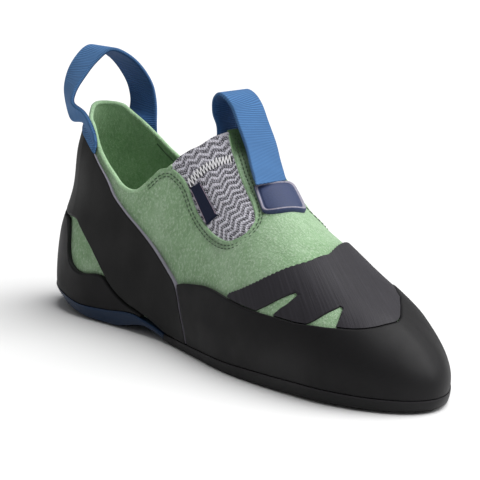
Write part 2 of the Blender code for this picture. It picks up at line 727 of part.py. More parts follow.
def add_insole():
    """Insole on the soles, inside the upper's wall."""
    ring = round_heel(spread(OUTLINE[1][0], OUTLINE[-1][0], INSOLE_RIBS))
    stations, share = np.meshgrid(ring, INSOLE_ROWS, indexing="ij")
    inside = rib(stations, 0.0, -UPPER_WALL - 2 * CLEARANCE)[..., :2]
    middle = spine(stations)
    plan = middle * (1 - share[..., None]) + inside * share[..., None]
    full = np.linalg.norm(sole_edge(stations) - middle, axis=-1)
    on_sole = np.linalg.norm(plan - middle, axis=-1) / full
    thickness = max(SOLE_THICKNESS, HEEL_SOLE_THICKNESS)
    bottom = sole_top(stations, on_sole, thickness) + 2 * CLEARANCE
    top = bottom + INSOLE_THICKNESS
    grids = [np.concatenate([plan, z[..., None]], -1) for z in (bottom, top)]
    add_object("insole", "lining", *grids)


def add_webbing(name, rows):
    """Flat strap over rows of points that each run across its width."""
    lengths = np.linalg.norm(np.diff(rows.mean(axis=1), axis=0), axis=1)
    at = np.concatenate([[0.0], np.cumsum(lengths)])
    even = np.linspace(0, at[-1], LOOP_COLUMNS)
    flat = rows.reshape(len(rows), -1)
    middle = np.stack([smooth(at, values, even) for values in flat.T], -1)
    middle = middle.reshape(LOOP_COLUMNS, *rows.shape[1:])
    normal = np.cross(np.gradient(middle, axis=0), np.gradient(middle, axis=1))
    normal *= WEBBING_THICKNESS / 2 / np.linalg.norm(normal, axis=-1)[..., None]
    add_object(name, "webbing", middle - normal, middle + normal)


def across_strap(middle, turn):
    """Rows of points across a strap, from its centre line and its width's direction."""
    lanes = np.linspace(-0.5, 0.5, LOOP_LANES) * WEBBING_WIDTH
    return middle[:, None] + turn[:, None] * lanes[None, :, None]


def sling_front(stations):
    """Girth of the sling's front edge over each rib."""
    return np.interp(-start_of(stations), -column(SLING, "x_front"), column(SLING, "front"))


def loop_foot(at, girth, way):
    """Rows of points of a strap's end on the outside of the collar, just above the sling."""
    seat = CLEARANCE + WEBBING_THICKNESS / 2 + LOOP_SLACK
    ring = rib(np.array([at - 0.01, at + 0.01]), sling_front(np.array([at])))
    step = way * 0.02 * WEBBING_WIDTH / np.linalg.norm(ring[1] - ring[0])
    stations = at + np.linspace(-0.5, 0.5, LOOP_LANES) * step
    low = sling_front(stations)
    low = low + girth_step(stations, low, 3 * CLEARANCE)
    return np.stack([rib(stations, low, seat), rib(stations, low + girth, seat)])


def add_heel_loop():
    """Pull loop over the heel, sewn to the outside of the collar on both sides."""
    scale = np.array([LENGTH, BALL_WIDTH, HEEL_HEIGHT])
    middle = np.stack([column(HEEL_LOOP, name) for name in "xyz"], -1) * scale
    angle, rise = np.radians(column(HEEL_LOOP, "turn")), np.radians(column(HEEL_LOOP, "rise"))
    turn = np.stack([np.cos(angle) * np.cos(rise), np.sin(angle) * np.cos(rise), np.sin(rise)], -1)
    medial = loop_foot(*LOOP_FEET[1], -1)
    lateral = loop_foot(*LOOP_FEET[2], 1)
    rows = np.concatenate([medial, across_strap(middle, turn), lateral[::-1]])
    add_webbing("heel_pull_loop", rows)


def add_front_loop():
    """Pull loop from the badge over the throat and down inside the tongue."""
    scale = np.array([LENGTH, BALL_WIDTH, INSTEP_HEIGHT])
    middle = np.stack([column(FRONT_LOOP, name) for name in "xyz"], -1) * scale
    turn = np.broadcast_to([0.0, 1.0, 0.0], middle.shape)
    add_webbing("front_pull_loop", across_strap(middle, turn))


def clear_scene():
    for thing in list(bpy.data.objects):
        bpy.data.objects.remove(thing, do_unlink=True)
    for name in (OBJECT, CUTTERS):
        collection = bpy.data.collections.new(name)
        bpy.context.scene.collection.children.link(collection)


def build_shoe():
    clear_scene()
    upper = add_upper()
    for side in SIDES:
        add_gore(side, upper)
    add_insole()
    add_soles()
    add_sling()
    add_heel_rubber()
    add_rand()
    add_patch()
    add_badge()
    add_label()
    add_heel_loop()
    add_front_loop()


build_shoe()
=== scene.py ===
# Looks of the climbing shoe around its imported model: metres, +X to the toe, +Z up, -Y medial.

import bpy
import numpy as np
from mathutils import Matrix, Vector


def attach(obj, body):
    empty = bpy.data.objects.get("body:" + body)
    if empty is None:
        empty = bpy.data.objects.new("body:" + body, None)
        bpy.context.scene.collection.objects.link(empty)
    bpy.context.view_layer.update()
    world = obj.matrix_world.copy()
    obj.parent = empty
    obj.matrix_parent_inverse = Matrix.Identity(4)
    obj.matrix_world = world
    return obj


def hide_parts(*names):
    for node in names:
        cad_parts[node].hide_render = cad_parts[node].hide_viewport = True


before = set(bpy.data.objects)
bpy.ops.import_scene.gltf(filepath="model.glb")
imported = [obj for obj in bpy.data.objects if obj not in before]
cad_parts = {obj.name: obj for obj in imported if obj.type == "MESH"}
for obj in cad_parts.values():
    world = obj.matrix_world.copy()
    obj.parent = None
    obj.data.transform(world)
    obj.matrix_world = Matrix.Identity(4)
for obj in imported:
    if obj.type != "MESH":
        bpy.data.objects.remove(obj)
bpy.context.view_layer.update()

# Driving dimensions
LENGTH = 0.250
BALL_WIDTH = 0.090
INSTEP_HEIGHT = 0.083
HEEL_HEIGHT = 0.091
UPPER_WALL = 0.0018
KNIT_WALL = 0.0012
KNIT_RECESS = 0.0004
RUBBER_THICKNESS = 0.0020
PATCH_THICKNESS = 0.0016
SOLE_THICKNESS = 0.0045
HEEL_SOLE_THICKNESS = 0.0055
SOLE_LEDGE = 0.0004
WEBBING_WIDTH = 0.0165
WEBBING_THICKNESS = 0.0018
LABEL_THICKNESS = 0.0008
CLEARANCE = 0.0003

# Places along the shoe, shares of LENGTH: where the ribs fan round heel and toe, where heel sole
# and outsole meet, and the middle of the heel's flat spot
HEEL_FAN = 0.12
TOE_FAN = 0.84
SOLE_SPLIT = 0.405
HEEL_FLAT = 0.18

# Outline of the upper on plan: shares of LENGTH and BALL_WIDTH
OUTLINE = (
    ("x", "medial", "lateral"),
    (0.015, 0.000, 0.000),
    (0.042, -0.155, 0.163),
    (0.104, -0.260, 0.268),
    (0.180, -0.294, 0.315),
    (0.290, -0.288, 0.352),
    (0.400, -0.298, 0.393),
    (0.520, -0.378, 0.444),
    (0.630, -0.447, 0.447),
    (0.720, -0.470, 0.388),
    (0.820, -0.472, 0.262),
    (0.910, -0.428, 0.105),
    (0.970, -0.342, -0.040),
    (1.000, -0.205, -0.205),
)
# Ridge line: shares of LENGTH, INSTEP_HEIGHT and BALL_WIDTH
RIDGE = (
    ("x", "height", "y"),
    (0.00, 1.310, 0.000),
    (0.12, 1.290, 0.000),
    (0.30, 1.215, 0.020),
    (0.42, 1.120, 0.045),
    (0.48, 0.988, 0.035),
    (0.56, 0.842, -0.025),
    (0.66, 0.690, -0.100),
    (0.76, 0.538, -0.160),
    (0.86, 0.424, -0.195),
    (0.95, 0.352, -0.218),
    (1.00, 0.315, -0.222),
)
# Rib shape: feather edge, tuck under the widest line, that line's height over the feather and
# pinch over the heel cup as shares of HEEL_HEIGHT, and how full the medial and lateral rib are
SECTION = (
    ("x", "feather", "tuck", "widest", "pinch", "medial", "lateral"),
    (0.00, 0.128, 0.020, 0.242, 0.026, 1.27, 1.27),
    (0.10, 0.098, 0.010, 0.242, 0.018, 1.33, 1.36),
    (0.18, 0.070, 0.010, 0.242, 0.008, 1.62, 1.62),
    (0.24, 0.076, 0.014, 0.220, 0.003, 1.82, 1.78),
    (0.31, 0.092, 0.016, 0.198, 0.000, 1.88, 1.78),
    (0.36, 0.070, 0.016, 0.198, 0.000, 1.90, 1.76),
    (0.42, 0.042, 0.016, 0.176, 0.000, 1.89, 1.74),
    (0.50, 0.046, 0.014, 0.165, 0.000, 1.84, 1.66),
    (0.60, 0.051, 0.014, 0.154, 0.000, 1.88, 1.58),
    (0.72, 0.062, 0.016, 0.154, 0.000, 2.05, 1.70),
    (0.84, 0.067, 0.016, 0.154, 0.000, 2.38, 1.95),
    (0.93, 0.065, 0.016, 0.154, 0.000, 2.50, 1.95),
    (1.00, 0.063, 0.016, 0.154, 0.000, 2.40, 2.20),
)
# Girth at which the ribs end in the collar; past the last row they meet on the ridge
RIM = (
    ("x", "medial", "lateral"),
    (0.015, 0.680, 0.680),
    (0.049, 0.666, 0.678),
    (0.084, 0.643, 0.673),
    (0.117, 0.625, 0.652),
    (0.131, 0.609, 0.625),
    (0.148, 0.575, 0.591),
    (0.167, 0.533, 0.548),
    (0.194, 0.483, 0.486),
    (0.225, 0.435, 0.430),
    (0.254, 0.397, 0.394),
    (0.281, 0.385, 0.384),
    (0.301, 0.395, 0.392),
    (0.317, 0.423, 0.414),
    (0.332, 0.457, 0.441),
    (0.344, 0.487, 0.464),
    (0.364, 0.512, 0.495),
    (0.382, 0.575, 0.545),
    (0.399, 0.625, 0.585),
    (0.421, 0.703, 0.640),
    (0.435, 0.804, 0.690),
    (0.444, 0.894, 0.770),
    (0.449, 1.000, 1.000),
)
THROAT = RIM[-1][0]
# Middle and reach of the pinch, shares of HEEL_HEIGHT
PINCH_HEIGHT = 0.58
PINCH_REACH = 0.22
# Underside of the soles: height of the middle, lift of the edge and how far its lower edge is
# drawn in as shares of HEEL_HEIGHT, and how much of its full thickness a sole has in the middle
UNDERSIDE = (
    ("x", "middle", "lift", "drawn_in", "thickness"),
    (0.000, 0.034, 0.058, 0.050, 0.80),
    (0.045, 0.012, 0.058, 0.046, 0.90),
    (0.090, 0.000, 0.046, 0.034, 1.00),
    (0.180, 0.000, 0.016, 0.014, 1.00),
    (0.260, 0.000, 0.010, 0.008, 1.00),
    (0.300, 0.020, 0.008, 0.004, 0.70),
    (0.344, 0.042, 0.006, 0.000, 0.42),
    (0.375, 0.032, 0.005, 0.000, 0.43),
    (0.410, 0.010, 0.005, 0.000, 0.55),
    (0.440, 0.000, 0.005, 0.004, 0.60),
    (0.600, 0.000, 0.004, 0.006, 0.85),
    (0.720, 0.000, 0.006, 0.006, 1.00),
    (0.800, 0.000, 0.011, 0.008, 1.00),
    (0.950, 0.000, 0.014, 0.010, 1.00),
    (1.000, 0.004, 0.014, 0.010, 1.00),
)
FLAT_SHARE = 0.5
CUP_POWER = 4
DRAWN_IN_POWER = 8
# Heel sling from its point on the arch to the middle of the heel: front and back edge
SLING = (
    ("x_front", "front", "x_back", "back"),
    (0.484, 0.000, 0.440, 0.000),
    (0.478, 0.060, 0.420, 0.000),
    (0.462, 0.125, 0.400, 0.000),
    (0.442, 0.180, 0.378, 0.004),
    (0.414, 0.204, 0.356, 0.010),
    (0.387, 0.224, 0.332, 0.015),
    (0.351, 0.253, 0.308, 0.024),
    (0.319, 0.279, 0.286, 0.043),
    (0.279, 0.317, 0.263, 0.073),
    (0.247, 0.357, 0.241, 0.114),
    (0.224, 0.403, 0.217, 0.166),
    (0.188, 0.464, 0.188, 0.225),
    (0.160, 0.510, 0.160, 0.272),
    (0.120, 0.556, 0.130, 0.307),
    (0.070, 0.584, 0.075, 0.320),
    (0.015, 0.596, 0.015, 0.324),
)
# Top edge of the lower heel rubber, under the heel window and the sling's back edge
HEEL_RUBBER = (
    ("x", "girth"),
    (0.015, 0.317),
    (0.075, 0.313),
    (0.104, 0.302),
    (0.118, 0.262),
    (0.124, 0.210),
    (0.132, 0.176),
    (0.147, 0.150),
    (0.169, 0.132),
    (0.215, 0.120),
    (0.236, 0.108),
    (0.251, 0.084),
    (0.275, 0.048),
    (0.305, 0.019),
    (0.335, 0.009),
)
# Top edge of the toe rand, and rear edge of the toe patch
RAND_TOP = (
    ("x", "medial", "lateral"),
    (0.442, 0.180, 0.180),
    (0.464, 0.206, 0.206),
    (0.503, 0.240, 0.238),
    (0.533, 0.263, 0.262),
    (0.562, 0.277, 0.280),
    (0.618, 0.289, 0.310),
    (0.664, 0.297, 0.345),
    (0.705, 0.317, 0.395),
    (0.739, 0.341, 0.455),
    (0.796, 0.387, 0.585),
    (0.828, 0.439, 0.650),
    (0.868, 0.505, 0.690),
    (0.907, 0.565, 0.708),
    (0.942, 0.635, 0.722),
    (0.978, 0.707, 0.738),
    (1.000, 0.742, 0.742),
)
PATCH_REAR = (
    ("x", "medial", "lateral"),
    (0.575, 0.285, 0.300),
    (0.612, 0.296, 0.410),
    (0.649, 0.383, 0.545),
    (0.679, 0.473, 0.665),
    (0.712, 0.631, 0.818),
    (0.728, 0.745, 0.905),
    (0.736, 0.830, 0.960),
    (0.738, 1.000, 1.000),
)
PATCH_CLOSED = PATCH_REAR[-1][0]
PATCH_START = {"medial": 0.612, "lateral": 0.575}
# Two openings in the toe patch, from the rand up to their tips: rear and front edge
FIN_REAR = (
    ("x_rear", "rear", "x_front", "front"),
    (0.688, 0.275, 0.722, 0.280),
    (0.704, 0.322, 0.733, 0.343),
    (0.722, 0.385, 0.744, 0.405),
    (0.742, 0.479, 0.756, 0.470),
    (0.757, 0.563, 0.765, 0.560),
)
FIN_FRONT = (
    ("x_rear", "rear", "x_front", "front"),
    (0.812, 0.385, 0.866, 0.460),
    (0.822, 0.435, 0.866, 0.520),
    (0.829, 0.503, 0.865, 0.590),
    (0.837, 0.611, 0.862, 0.660),
    (0.844, 0.725, 0.857, 0.718),
)
# Knit gore from its round tip to the rim: lower and upper edge, with the girth of the upper edge
# on each side
GORE = (
    ("x_low", "low", "x_up", "medial", "lateral"),
    (0.599, 0.672, 0.599, 0.690, 0.688),
    (0.595, 0.601, 0.592, 0.723, 0.704),
    (0.577, 0.529, 0.573, 0.754, 0.708),
    (0.557, 0.487, 0.543, 0.774, 0.710),
    (0.530, 0.463, 0.513, 0.792, 0.705),
    (0.492, 0.452, 0.493, 0.814, 0.702),
    (0.453, 0.459, 0.467, 0.848, 0.702),
    (0.411, 0.503, 0.452, 0.882, 0.708),
    (0.366, 0.515, 0.444, 0.905, 0.720),
)
# Side label on the medial gore: its two long edges
LABEL = (
    ("x_low", "low", "x_up", "up"),
    (0.429, 0.502, 0.446, 0.560),
    (0.460, 0.480, 0.478, 0.545),
    (0.493, 0.465, 0.511, 0.536),
)
# Centre line of the front pull loop, from the badge over the throat and down inside the tongue
FRONT_LOOP = (
    ("x", "y", "z"),
    (0.556, -0.034, 0.878),
    (0.536, -0.004, 0.918),
    (0.504, 0.044, 0.998),
    (0.474, 0.066, 1.100),
    (0.458, 0.072, 1.170),
    (0.444, 0.062, 1.222),
    (0.429, 0.058, 1.238),
    (0.415, 0.060, 1.205),
    (0.413, 0.062, 1.140),
    (0.421, 0.066, 1.085),
    (0.430, 0.050, 1.020),
    (0.440, 0.035, 0.955),
)
# Heel pull loop between its two ends: centre line as shares of LENGTH, BALL_WIDTH and
# HEEL_HEIGHT, and in degrees how its width is turned on plan and rises to the front
HEEL_LOOP = (
    ("x", "y", "z", "turn", "rise"),
    (0.102, -0.146, 0.926, -15, 16),
    (0.080, -0.156, 0.983, -29, 12),
    (0.072, -0.140, 1.046, -22, 4),
    (0.068, -0.095, 1.117, -12, 0),
    (0.068, -0.029, 1.190, -4, 0),
    (0.073, 0.050, 1.240, 0, 0),
    (0.084, 0.141, 1.196, 2, 0),
    (0.095, 0.205, 1.115, 4, 0),
    (0.104, 0.234, 1.032, 4, 0),
    (0.113, 0.226, 0.970, 4, 0),
    (0.120, 0.206, 0.920, 8, 0),
)
# Its two ends on the collar, above the sling: station of the middle, and how much girth it covers
LOOP_FEET = (
    ("station", "girth"),
    (-0.205, 0.030),
    (0.222, 0.030),
)
LOOP_SLACK = 0.0005

SIDES = {-1: "medial", 1: "lateral"}
MM = 0.001
TINY = 1e-9
RNG = np.random.default_rng(7)

# Ends of the outline, the corners of a gore on the rim, and the frame's origin from the heel's back
HEEL_END, TOE_END = OUTLINE[1][0], OUTLINE[-1][0]
GORE_REAR, GORE_TOP = GORE[-1][0], GORE[-1][2]
HEEL_SPOT = np.array([HEEL_FLAT * LENGTH, 0.0, 0.0])
# How closely the mesh columns of a rubber band crowd at its two borders
FINE_ENDS = 0.92

# Soft folds of the suede: middle and reach in mm from the heel's back, and height in mm
CREASES = (
    ((60, -26, 36), (9, 20, 5), -0.5),
    ((75, -28, 40), (10, 20, 4), 0.4),
    ((92, -28, 34), (12, 20, 4), -0.5),
    ((110, -30, 42), (12, 20, 6), 0.4),
    ((132, -28, 44), (10, 18, 6), -0.5),
    ((150, -22, 50), (12, 16, 5), 0.4),
    ((158, 12, 52), (8, 16, 7), -0.4),
    ((90, 30, 40), (14, 20, 6), -0.5),
    ((120, 32, 38), (12, 20, 6), 0.4),
    ((30, -10, 66), (8, 9, 6), -0.3),
)
# Relief beside an edge, as rows of distance from it, reach and height in mm: the suede at its
# sewn edge, and the badge's raised border with the groove inside it
SEAM_RELIEF = ((0.0, 0.9, 0.55), (1.7, 0.55, -0.32), (3.1, 0.7, -0.22))
BADGE_RELIEF = ((0.85, 0.45, 0.35), (1.75, 0.35, -0.40))
# Where the sewn edge starts on the collar, and its two rows of stitches: distance from the edge
# and depth in mm
SEAM_START = 0.318
STITCH_ROWS = ((1.75, 0.16), (3.1, 0.10))
STITCH_LENGTH, STITCH_GAP, STITCH_RADIUS = 1.7 * MM, 0.7 * MM, 0.24 * MM
# Girth to which the mesh line from a gore's tip runs, and how far beyond the tip it gets there
LINE_GIRTH, LINE_REACH = 0.66, 0.25
# Zigzag stitch across each gore: x and girth of its two ends, the length of one zigzag, and its
# lines, the white thread and a dark line beside it that is painted shadow, with a shift along the
# seam, a half width and a height over the knit in mm
ZIGZAG = {-1: ((0.423, 0.512), (0.481, 0.795)), 1: ((0.423, 0.512), (0.481, 0.70))}
ZIGZAG_PITCH = 1.55 * MM
ZIGZAG_THREAD_AND_SHADOW = (("white", 0.0, 2.1, 0.22), ("dark", 0.625, 1.5, 0.05))
# How far the middles of the label's long edges move to the toe, in stations, to be straight
LABEL_SHIFT = {"low": 0.005, "up": 0.009}
# Widening of the suede under an opening of the toe patch, and its height
FIN_MARGIN = 0.012
FIN_SUEDE = 1.2 * MM
# Badge on plan: from its medial to its lateral side, points of its rear, middle and front
BADGE_PLAN = (
    ((0.5474, -0.1097), (0.5742, -0.1449), (0.6012, -0.1809)),
    ((0.5640, -0.0270), (0.5955, -0.0700), (0.6260, -0.1120)),
    ((0.5560, 0.1050), (0.5930, 0.0660), (0.6260, 0.0200)),
)
# Its half width, height, the lift of its lateral rear corner and how square its corners are
BADGE_HALF = 8.4 * MM
BADGE_HEIGHT = 1.15 * MM
BADGE_LIFT = 2.3 * MM
BADGE_CORNERS = 9.0
# Camera, as in the photograph: point it faces, azimuth and elevation in degrees, and lens in mm
CAMERA_TARGET = (0.080, 0.0, 0.042)
CAMERA_AZIMUTH, CAMERA_ELEVATION = 49, 12
CAMERA_LENS, CAMERA_SHIFT = 181.5, (-0.025, 0.0083)
# Lights: way to the light, angle in degrees and strength; and the strength of the white world
SUNS = {"key": ((0.40, 0.45, 1.0), 75, 4.8), "front": ((1.0, -0.35, 0.55), 50, 0.30)}
WORLD_STRENGTH = 0.19
FLOOR_REACH, FLOOR_GREY = 6.0, 0.74


# Form of the shoe
def column(table, name):
    return np.array([row[table[0].index(name)] for row in table[1:]], float)


def smooth(at, value, x):
    """Value at x of a curve through points, which is level at its peaks."""
    step = np.diff(at)
    rise = np.diff(value) / step
    slope = np.concatenate([rise[:1], np.zeros(len(at) - 2), rise[-1:]])
    both = rise[:-1] * rise[1:] > 0
    mean = (rise[:-1] * step[1:] + rise[1:] * step[:-1]) / (step[1:] + step[:-1])
    slope[1:-1][both] = mean[both]
    x = np.clip(x, at[0], at[-1])
    k = np.clip(np.searchsorted(at, x, side="right") - 1, 0, len(at) - 2)
    h = at[k + 1] - at[k]
    u = (x - at[k]) / h
    start = (2 * u**3 - 3 * u**2 + 1) * value[k] + (u**3 - 2 * u**2 + u) * h * slope[k]
    end = (3 * u**2 - 2 * u**3) * value[k + 1] + (u**3 - u**2) * h * slope[k + 1]
    return start + end


def ease(share):
    return share * share * (3 - 2 * share)


def unit(vectors):
    return vectors / (np.linalg.norm(vectors, axis=-1)[..., None] + 1e-12)


def run_of(points, axis=0):
    """Length along a line, or along each line of a grid, up to each point."""
    steps = np.linalg.norm(np.diff(points, axis=axis), axis=-1)
    return np.insert(np.cumsum(steps, axis=axis), 0, 0.0, axis=axis)


def curve(table, name, x):
    """A table's column at x, which is the table's first column."""
    return smooth(column(table, "x"), column(table, name), x)


def station(x, side):
    """Station of the rib that starts at x on side -1 or 1."""
    share = np.clip((np.asarray(x, float) - HEEL_END) / (TOE_END - HEEL_END), 0, 1)
    return side * np.arccos(1 - 2 * share) / np.pi


def start_of(stations):
    """Where the ribs start, a share of LENGTH."""
    return HEEL_END + (TOE_END - HEEL_END) * (1 - np.cos(np.pi * np.abs(stations))) / 2


def by_side(table, stations):
    """A table's medial or lateral column over each rib."""
    x = start_of(stations)
    return np.where(stations < 0, curve(table, "medial", x), curve(table, "lateral", x))


def outline_y(stations):
    """How far out on plan the ribs start, a share of BALL_WIDTH."""
    at = station(column(OUTLINE, "x"), 1)
    medial = smooth(at, column(OUTLINE, "medial"), np.abs(stations))
    lateral = smooth(at, column(OUTLINE, "lateral"), np.abs(stations))
    return np.where(stations < 0, medial, lateral)


def spine(stations):
    """Point on plan under the ridge that each rib runs to."""
    x = np.clip(start_of(stations), HEEL_FAN, TOE_FAN)
    return np.stack([x * LENGTH, curve(RIDGE, "y", x) * BALL_WIDTH], -1)


def rib(stations, girth, out=0.0):
    """Points of the upper's surface, or of the same surface a distance further out."""
    stations, girth = np.broadcast_arrays(np.asarray(stations, float), np.asarray(girth, float))
    x = start_of(stations)
    foot = np.stack([x * LENGTH, outline_y(stations) * BALL_WIDTH], -1)
    top = spine(stations)
    reach = np.linalg.norm(top - foot, axis=-1)
    way = (top - foot) / reach[..., None]
    lateral = ease(np.clip((foot[..., 1] - top[..., 1]) / (0.13 * BALL_WIDTH) + 0.5, 0, 1))
    fullness = curve(SECTION, "medial", x) * (1 - lateral) + curve(SECTION, "lateral", x) * lateral
    feather, tuck, widest, pinch = [
        curve(SECTION, name, x) * HEEL_HEIGHT for name in ("feather", "tuck", "widest", "pinch")
    ]
    up = np.sin(girth * np.pi / 2) ** (2 / fullness)
    inward = 1 - np.cos(girth * np.pi / 2) ** (2 / fullness)
    ridge = curve(RIDGE, "height", x) * INSTEP_HEIGHT + out
    for _ in range(3):
        z = feather + (ridge - feather) * up
        under = np.clip(1 - (z - feather) / widest, 0, 1) ** 2
        waist = ease(np.clip(1 - np.abs(z / HEEL_HEIGHT - PINCH_HEIGHT) / PINCH_REACH, 0, 1))
        inset = tuck * under + pinch * waist
        plan = foot + way * ((reach + out) * inward - out + inset)[..., None]
        ridge = curve(RIDGE, "height", plan[..., 0] / LENGTH) * INSTEP_HEIGHT + out
    z = feather + (ridge - feather) * up
    return np.concatenate([plan, z[..., None]], -1)


def surface(stations, girths, out=0.0):
    """The same points in the shared frame."""
    return rib(stations, girths, out) - HEEL_SPOT


def girth_over(x, y):
    """Station and girth of the points of the upper over a place on plan, x a share of LENGTH."""
    away = y * BALL_WIDTH - curve(RIDGE, "y", x) * BALL_WIDTH
    stations = station(x, 1) * np.where(away < 0, -1, 1)
    samples = np.linspace(1, 0, 120)
    girths = []
    for at, reach in zip(stations, np.abs(away)):
        points = rib(np.full(len(samples), at), samples)
        distance = np.linalg.norm(points[:, :2] - points[0, :2], axis=1)
        girths.append(np.interp(reach, distance, samples))
    return stations, np.array(girths)


def girth_step(stations, girth, distance):
    """Change of girth along each rib that goes with a distance on the surface."""
    half = 0.005
    ends = rib(stations, girth + half) - rib(stations, np.maximum(girth - half, 0))
    return distance * 2 * half / np.linalg.norm(ends, axis=-1)


def rim_girth(stations):
    """Girth at which the ribs end in the collar, or 1 where they meet on the ridge."""
    return np.where(start_of(stations) > THROAT - 1e-6, 1.0, by_side(RIM, stations))


def round_heel(shares):
    """Stations from medial, round the heel, to lateral, for rising shares."""
    return np.concatenate([station(shares[::-1], -1), station(shares[1:], 1)])


def round_toe(shares):
    """Stations from medial, round the toe, to lateral, for rising shares."""
    return np.concatenate([station(shares, -1), station(shares[::-1], 1)])


def spread(first, last, count):
    """Shares from first to last, closer together where the outline turns."""
    return start_of(np.linspace(station(first, 1), station(last, 1), count))


def even_columns(low, high, count):
    """Two edges, each a pair of stations and girths, stepped evenly along the middle between."""
    at = run_of((rib(*low) + rib(*high)) / 2)
    steps = np.linspace(0, at[-1], count)
    return [tuple(smooth(at, values, steps) for values in edge) for edge in (low, high)]


def rows_between(low, high, shares):
    """Stations and girths of a grid between two edges, each a pair of arrays."""
    return [a[:, None] * (1 - shares) + b[:, None] * shares for a, b in zip(low, high)]


def sling_front(stations):
    """Girth of the sling's front edge over each rib."""
    return np.interp(-start_of(stations), -column(SLING, "x_front"), column(SLING, "front"))


def over_rand(stations):
    """Girth just above the toe rand's top edge."""
    low = by_side(RAND_TOP, stations)
    return low + girth_step(stations, low, CLEARANCE)


def sole_edge(stations):
    """Outer edge of the soles on plan, just proud of the rubber above it."""
    return rib(stations, 0.0, CLEARANCE + RUBBER_THICKNESS + SOLE_LEDGE)[..., :2]


def sole_top(plan, around, share, thickness):
    """Height of a sole's upper face over points on plan, share 0 on the spine and 1 at the edge."""
    x = plan[..., 0] / LENGTH
    middle = curve(UNDERSIDE, "middle", x) * HEEL_HEIGHT
    middle = middle + curve(UNDERSIDE, "thickness", x) * thickness
    edge = curve(SECTION, "feather", start_of(around)) * HEEL_HEIGHT - CLEARANCE
    return middle + (edge - middle) * share**CUP_POWER


# Meshes
def even(points, spacing):
    """A line of points resampled at about one spacing."""
    at = run_of(points)
    steps = np.linspace(0, at[-1], max(int(round(at[-1] / spacing)), 2) + 1)
    return np.stack([np.interp(steps, at, values) for values in points.T], -1)


def dense_ends(count, amount):
    """Shares from 0 to 1, closer together at both ends."""
    s = np.linspace(0, 1, count)
    return s - amount * np.sin(2 * np.pi * s) / (2 * np.pi)


def soften(values, times):
    """Evens out a line or a row of numbers between its ends, in place."""
    for _ in range(times):
        values[1:-1] = (values[:-2] + 2 * values[1:-1] + values[2:]) / 4


def to_border(grid, low=True, high=True, first=False, last=False):
    """Distance of each point of a grid from the chosen borders."""
    across, along = run_of(grid, 1), run_of(grid)
    sides = (low, across), (high, across[:, -1:] - across)
    ends = (first, along), (last, along[-1:] - along)
    found = np.full(grid.shape[:2], 1.0)
    for chosen, distance in sides + ends:
        if chosen:
            found = np.minimum(found, distance)
    return found


def nearest(points, line):
    """Distance of each point from the nearest point of a line."""
    return np.sqrt(((points[:, None] - line[None]) ** 2).sum(-1).min(1))


def rounded(distance, radius, least=0.35):
    """Share of a sheet's thickness at a distance from its rounded border."""
    k = np.clip(1 - distance / radius, 0, 1)
    return least + (1 - least) * np.sqrt(1 - k**2)


def relief(distance, rows):
    """Height of soft ridges and troughs at a distance from an edge."""
    bumps = [(distance / MM - at) / reach for at, reach, _ in rows]
    return sum(row[2] * MM * np.exp(-(bump**2)) for row, bump in zip(rows, bumps))


def make_piece(name, points, faces, slots, material_index=None, uv=None, nodes=()):
    """Mesh object on the shoe. slots are its materials."""
    mesh = bpy.data.meshes.new(name)
    mesh.from_pydata(np.asarray(points).tolist(), [], faces)
    mesh.shade_smooth()
    for key in slots:
        mesh.materials.append(MADE[key])
    if material_index is not None:
        mesh.polygons.foreach_set("material_index", np.asarray(material_index, np.int32))
    if uv is not None:
        layer = mesh.uv_layers.new(name="UVMap")
        corners = np.empty(len(mesh.loops), np.int32)
        mesh.loops.foreach_get("vertex_index", corners)
        layer.data.foreach_set("uv", np.asarray(uv, np.float32)[corners].ravel())
    mesh.set_sharp_from_angle(angle=np.radians(50))
    thing = bpy.data.objects.new(name, mesh)
    bpy.context.scene.collection.objects.link(thing)
    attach(thing, "root")
    if nodes:
        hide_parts(*nodes)
    return thing


def solid(name, inner, outer, slots, uv=None, nodes=(), holes=None, back_slot=0, wall_slot=0):
    """Closed piece between two grids of points, welded where the outer grid meets itself."""
    flat = outer.reshape(-1, 3)
    _, first, index = np.unique(np.round(flat, 6), axis=0, return_index=True, return_inverse=True)
    count = len(first)
    index = index.reshape(outer.shape[:2])
    points = np.concatenate([flat[first], inner.reshape(-1, 3)[first]])
    quads = np.stack([index[:-1, :-1], index[1:, :-1], index[1:, 1:], index[:-1, 1:]], -1)
    keep = np.ones(quads.shape[:2], bool) if holes is None else ~holes
    fronts = []
    for face in quads[keep].tolist():
        corners = [c for n, c in enumerate(face) if c != face[n - 1]]
        if len(set(corners)) > 2:
            fronts.append(corners)
    edges = {(face[n - 1], corner) for face in fronts for n, corner in enumerate(face)}
    backs = [[c + count for c in reversed(face)] for face in fronts]
    walls = [(b, a, a + count, b + count) for a, b in sorted(edges) if (b, a) not in edges]
    faces = fronts + backs + walls
    corners = points[[face[:3] for face in fronts]]
    normals = np.cross(corners[:, 1] - corners[:, 0], corners[:, 2] - corners[:, 0])
    starts = np.array([face[0] for face in fronts])
    if (normals * (points[starts] - points[starts + count])).sum() < 0:
        faces = [list(reversed(face)) for face in faces]
    which = [0] * len(fronts) + [back_slot] * len(backs) + [wall_slot] * len(walls)
    used = np.unique(np.concatenate([np.ravel(face) for face in faces]))
    renumber = np.full(len(points), -1)
    renumber[used] = np.arange(len(used))
    faces = [renumber[list(face)].tolist() for face in faces]
    if uv is not None:
        uv = np.tile(uv.reshape(-1, 2)[first], (2, 1))[used]
    return make_piece(name, points[used], faces, slots, which, uv, nodes)


def sheet(name, grid, inner, outer, slots, uv=None, **kept):
    """Closed piece over a grid of stations and girths, between two distances from the surface."""
    return solid(name, surface(*grid, inner), surface(*grid, outer), slots, uv, **kept)


